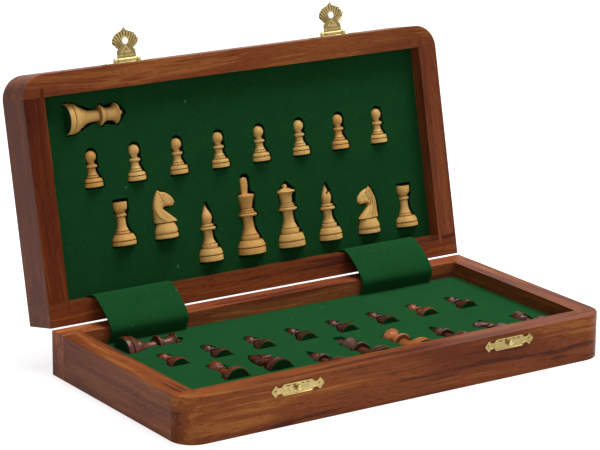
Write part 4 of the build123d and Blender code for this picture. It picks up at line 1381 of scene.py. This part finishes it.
def make_hasp_plate():
    """A plate with the two knuckles that hold a hasp's pin."""
    plate = make_plate()
    shift = (BARREL_LENGTH + KNUCKLE_LENGTH) / 2 + 0.3
    web_depth = HASP_STAND - 0.7 * MM
    for side in (-1, 1):
        knuckle = make_barrel(KNUCKLE_LENGTH, side * shift)
        settle(knuckle, Matrix.Translation((0, 0, HASP_STAND)))
        web = add_block(
            (KNUCKLE_LENGTH * MM, 2 * BARREL_RADIUS * 0.98 * MM, web_depth),
            Matrix.Translation((side * shift * MM, 0, web_depth / 2)))
        plate = join_all([knuckle, web, plate], "hasp_plate")
    return plate


def make_knob():
    """A catch knob facing Z, waisted where a hasp's hole grips it."""
    knob = turn_on_lathe(KNOB, "knob")
    # Tarnish and painted shade under the knob's head and on its waist.
    age(knob, "tarnish", lambda spot: 0.7 if spot.z < 0.95 else (0.25 if spot.z < 1.5 else 0.0))
    return knob


class CHESS_OT_fittings(bpy.types.Operator):
    """Stamps the hasps, their plates and the catches, and finishes the hinges"""

    bl_idname = "chess.fittings"
    bl_label = "Brass fittings"

    def execute(self, context):
        self.bright = brass("stamped_brass", context.scene.chess_brass.dull)
        lid_turn = turn_to(ACROSS, LID_RISE, LID_OUT)
        face_turn = turn_to(-ACROSS, LID_OUT, LID_RISE)
        to_front = Matrix.Rotation(math.pi / 2, 4, "X")
        hasp = join_all([shape_hasp_leaf(), make_barrel(BARREL_LENGTH)], "hasp")
        hasp_plate, knob = make_hasp_plate(), make_knob()
        low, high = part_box("catch_knobs")
        hasp_plates, plates, knobs = [], [], []
        for (side, axis), brown in zip(HASPS.items(), CATCH_BROWN):
            shell = copy_piece(hasp, f"{side}_hasp_shell")
            settle(shell, Matrix.Translation(axis) @ lid_turn)
            self.finish(shell, f"{side}_hasp", f"{side}_hasp")
            place = Matrix.Translation((axis.x, FRONT, (low.z + high.z) / 2)) @ to_front
            plates.append(settle(make_plate(SLOTS, brown), place))
            knobs.append(settle(copy_piece(knob, "knob"), place))
            place = Matrix.Translation(axis - HASP_STAND * LID_RISE) @ face_turn
            hasp_plates.append(settle(copy_piece(hasp_plate, "hasp_plate"), place))
        for pattern in (hasp, hasp_plate, knob):
            bpy.data.objects.remove(pattern)
        self.finish(join_all(plates, "catch_plates_stamped"), "catch_plates", "base")
        self.finish(join_all(knobs, "catch_knobs_turned"), "catch_knobs", "base")
        self.finish(join_all(hasp_plates, "hasp_plates_stamped"), "hasp_plates", "lid")
        worn = brass("hinge_brass", 0.42)
        for node in ("hinge_base_leaves", "hinge_lid_leaves", "hinge_pins", "hasp_pins"):
            put_on(NODES[node], worn)
        return {"FINISHED"}

    def finish(self, piece, node, body):
        """Dresses a fitting and puts it in its node's place."""
        put_on(piece, self.bright)
        soften(piece, 38)
        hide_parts(node)
        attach(piece, body)


# ================================================================ trays and their felts

RAILS = {                   # way of the grain, place in the pattern, tint, and the right end's painted light
    "base_front_rail": ("x", (0.11, 0.02, 0.03), (1.16, 1.16, 1.12), None),
    "base_hinge_rail": ("x", (0.53, 0.31, 0.17), (1.5, 1.55, 1.75), None),
    "base_side_rails": ("y", (0.37, 0.71, 0.13), (1.1, 1.08, 1.1), None),
    "lid_front_rail": (
        "x", (0.83, 0.47, 0.61), (0.88, 0.80, 0.84), ((1.45, 1.8, 1.5), 80 * MM)),
    "lid_hinge_rail": ("x", (0.29, 0.67, 0.41), (0.88, 0.78, 0.70), None),
    # The right side rail is painted lighter and paler: painted sheen.
    "lid_side_rails": ("lid", (0.19, 0.57, 0.91), (0.67, 0.47, 0.40), ((1.6, 2.3, 3.0), MM)),
}
VENEERS = {                 # place in the pattern, and pale, warm and deep colour
    "light": (
        (0.4, 0.1, 0.7), ((0.72, 0.50, 0.25), (0.62, 0.40, 0.18), (0.46, 0.27, 0.11))),
    "dark": (
        (0.7, 0.3, 0.2), ((0.22, 0.070, 0.025), (0.12, 0.034, 0.016), (0.055, 0.018, 0.010))),
}


def rail_finish(node):
    """A rail's own board, quieter in its streaks where its right end is painted lighter."""
    look = bpy.context.scene.chess_wood
    way, shift, tint, right = RAILS[node]
    soft_deep = tuple(0.45 * d + 0.55 * w for d, w in zip(look.deep, look.warm))
    quiet = (look.pale, look.warm, soft_deep) if right else None
    return wood(node.rsplit("_", 1)[0] + "_wood", way, shift, tint, quiet, right)


class CHESS_OT_box(bpy.types.Operator):
    """Gives the rails, panels, squares and recesses of both trays their finish"""

    bl_idname = "chess.box"
    bl_label = "Trays and board"

    def execute(self, context):
        for node in RAILS:
            put_on(NODES[node], rail_finish(node))
        # The lid's recess lining is dimmed as painted shade.
        for tray, way, bright in (("base", "y", 1.0), ("lid", "lid", 0.12)):
            put_on(NODES[f"{tray}_board_panel"], plywood(f"{tray}_plywood"))
            for tone, (shift, colours) in VENEERS.items():
                veneer = wood(f"{tray}_{tone}_veneer", way, shift, WHITE, colours)
                put_on(NODES[f"{tray}_{tone}_squares"], veneer)
            put_on(NODES[f"{tray}_insert"], pocket_lining(f"{tray}_lining", bright))
        return {"FINISHED"}


class CHESS_OT_felts(bpy.types.Operator):
    """Finishes the pierced felts that are glued on the inserts"""

    bl_idname = "chess.felts"
    bl_label = "Felts"

    def execute(self, context):
        # The lid's felt is darkened as painted shade; the base's is not.
        for tray, out, tone in (("base", Vector((0, 0, 1)), 1.0), ("lid", LID_OUT, 0.84)):
            sheet = NODES[f"{tray}_felt"]
            put_on(sheet, felt(f"{tray}_green_felt", tone))
        return {"FINISHED"}


# ================================================================ floor, lights and camera

LIGHTS = {                  # size, place and target of the two soft lights
    "overhead": (1.1, (0.45, -0.05, 1.5), (0, 0, 0.03)),
    "front": (1.4, (-1.0, -1.9, 0.9), (0, 0, 0.08)),
}
FLOOR_SIZE = 14


def seen_white(nodes):
    """1 for a ray from the eye, or one that a mirror or glass sends on, and 0 for any other."""
    ray = nodes.add("ShaderNodeLightPath").outputs
    seen = nodes.maths("MAXIMUM", ray["Is Camera Ray"], ray["Is Glossy Ray"])
    return nodes.maths("MAXIMUM", seen, ray["Is Transmission Ray"])


def floor_finish(glow):
    """A pale floor that looks white and keeps a soft shadow."""
    shade = Shader("pale_floor")
    return shade.coat(
        Emission_Strength=shade.maths("MULTIPLY", seen_white(shade), glow),
        Base_Color=(0.80, 0.80, 0.80), Roughness=0.9, Specular_IOR_Level=0.0,
        Emission_Color=WHITE)


def light_world(strength):
    """Even light from all round, and white where the eye sees past the floor."""
    world = bpy.data.worlds.new("studio")
    bpy.context.scene.world = world
    world.use_nodes = True
    world.node_tree.nodes.clear()
    nodes = Nodes(world.node_tree)
    even, white = (
        nodes.add("ShaderNodeBackground", Strength=power).outputs[0] for power in (strength, 1.0))
    both = nodes.add("ShaderNodeMixShader", seen_white(nodes), even, white)
    nodes.add("ShaderNodeOutputWorld", both.outputs[0])


class CHESS_OT_stage(bpy.types.Operator):
    """Sets the floor, the lights and the camera"""

    bl_idname = "chess.stage"
    bl_label = "Floor, lights and camera"

    def execute(self, context):
        look = context.scene.chess_stage
        floor = add_mesh("plane", size=FLOOR_SIZE, location=(0, 0, 0))
        floor.name = "floor"
        floor.data.materials.append(floor_finish(look.floor_glow))
        for name, (size, place, target) in LIGHTS.items():
            bpy.ops.object.light_add(type="AREA", location=place)
            lamp = context.object
            lamp.name = f"{name}_light"
            lamp.data.energy = getattr(look, f"{name}_power")
            lamp.data.size = size
            way = Vector(target) - Vector(place)
            lamp.rotation_euler = way.to_track_quat("-Z", "Y").to_euler()
        light_world(look.world_strength)
        bpy.ops.object.camera_add(location=look.eye, rotation=look.turn)
        camera = context.object
        camera.data.sensor_width = 36
        camera.data.lens = look.lens
        camera.data.clip_start = 0.05
        camera.data.clip_end = 30
        context.scene.camera = camera
        context.scene.view_settings.view_transform = "Standard"
        return {"FINISHED"}


OPERATORS = (
    CHESS_OT_box, CHESS_OT_felts, CHESS_OT_flaps, CHESS_OT_men, CHESS_OT_fittings,
    CHESS_OT_stage)


class CHESS_PT_panel(bpy.types.Panel):
    """Lists the box's pieces and their settings"""

    bl_idname = "CHESS_PT_panel"
    bl_label = "Folding chess box"
    bl_space_type = "VIEW_3D"
    bl_region_type = "UI"
    bl_category = "Chess Box"

    def draw(self, context):
        for operator in OPERATORS:
            self.layout.operator(operator.bl_idname)
        for group, kind in SETTINGS.items():
            box = self.layout.box()
            for name in kind.__annotations__:
                box.prop(getattr(context.scene, group), name)


CLASSES = (*SETTINGS.values(), *OPERATORS, CHESS_PT_panel)


def register():
    for kind in CLASSES:
        bpy.utils.register_class(kind)
    for name, kind in SETTINGS.items():
        setattr(bpy.types.Scene, name, bpy.props.PointerProperty(type=kind))


def unregister():
    for name in SETTINGS:
        delattr(bpy.types.Scene, name)
    for kind in reversed(CLASSES):
        bpy.utils.unregister_class(kind)


def main():
    register()
    for operator in OPERATORS:
        area, name = operator.bl_idname.split(".")
        getattr(getattr(bpy.ops, area), name)()


if __name__ == "__main__":
    main()
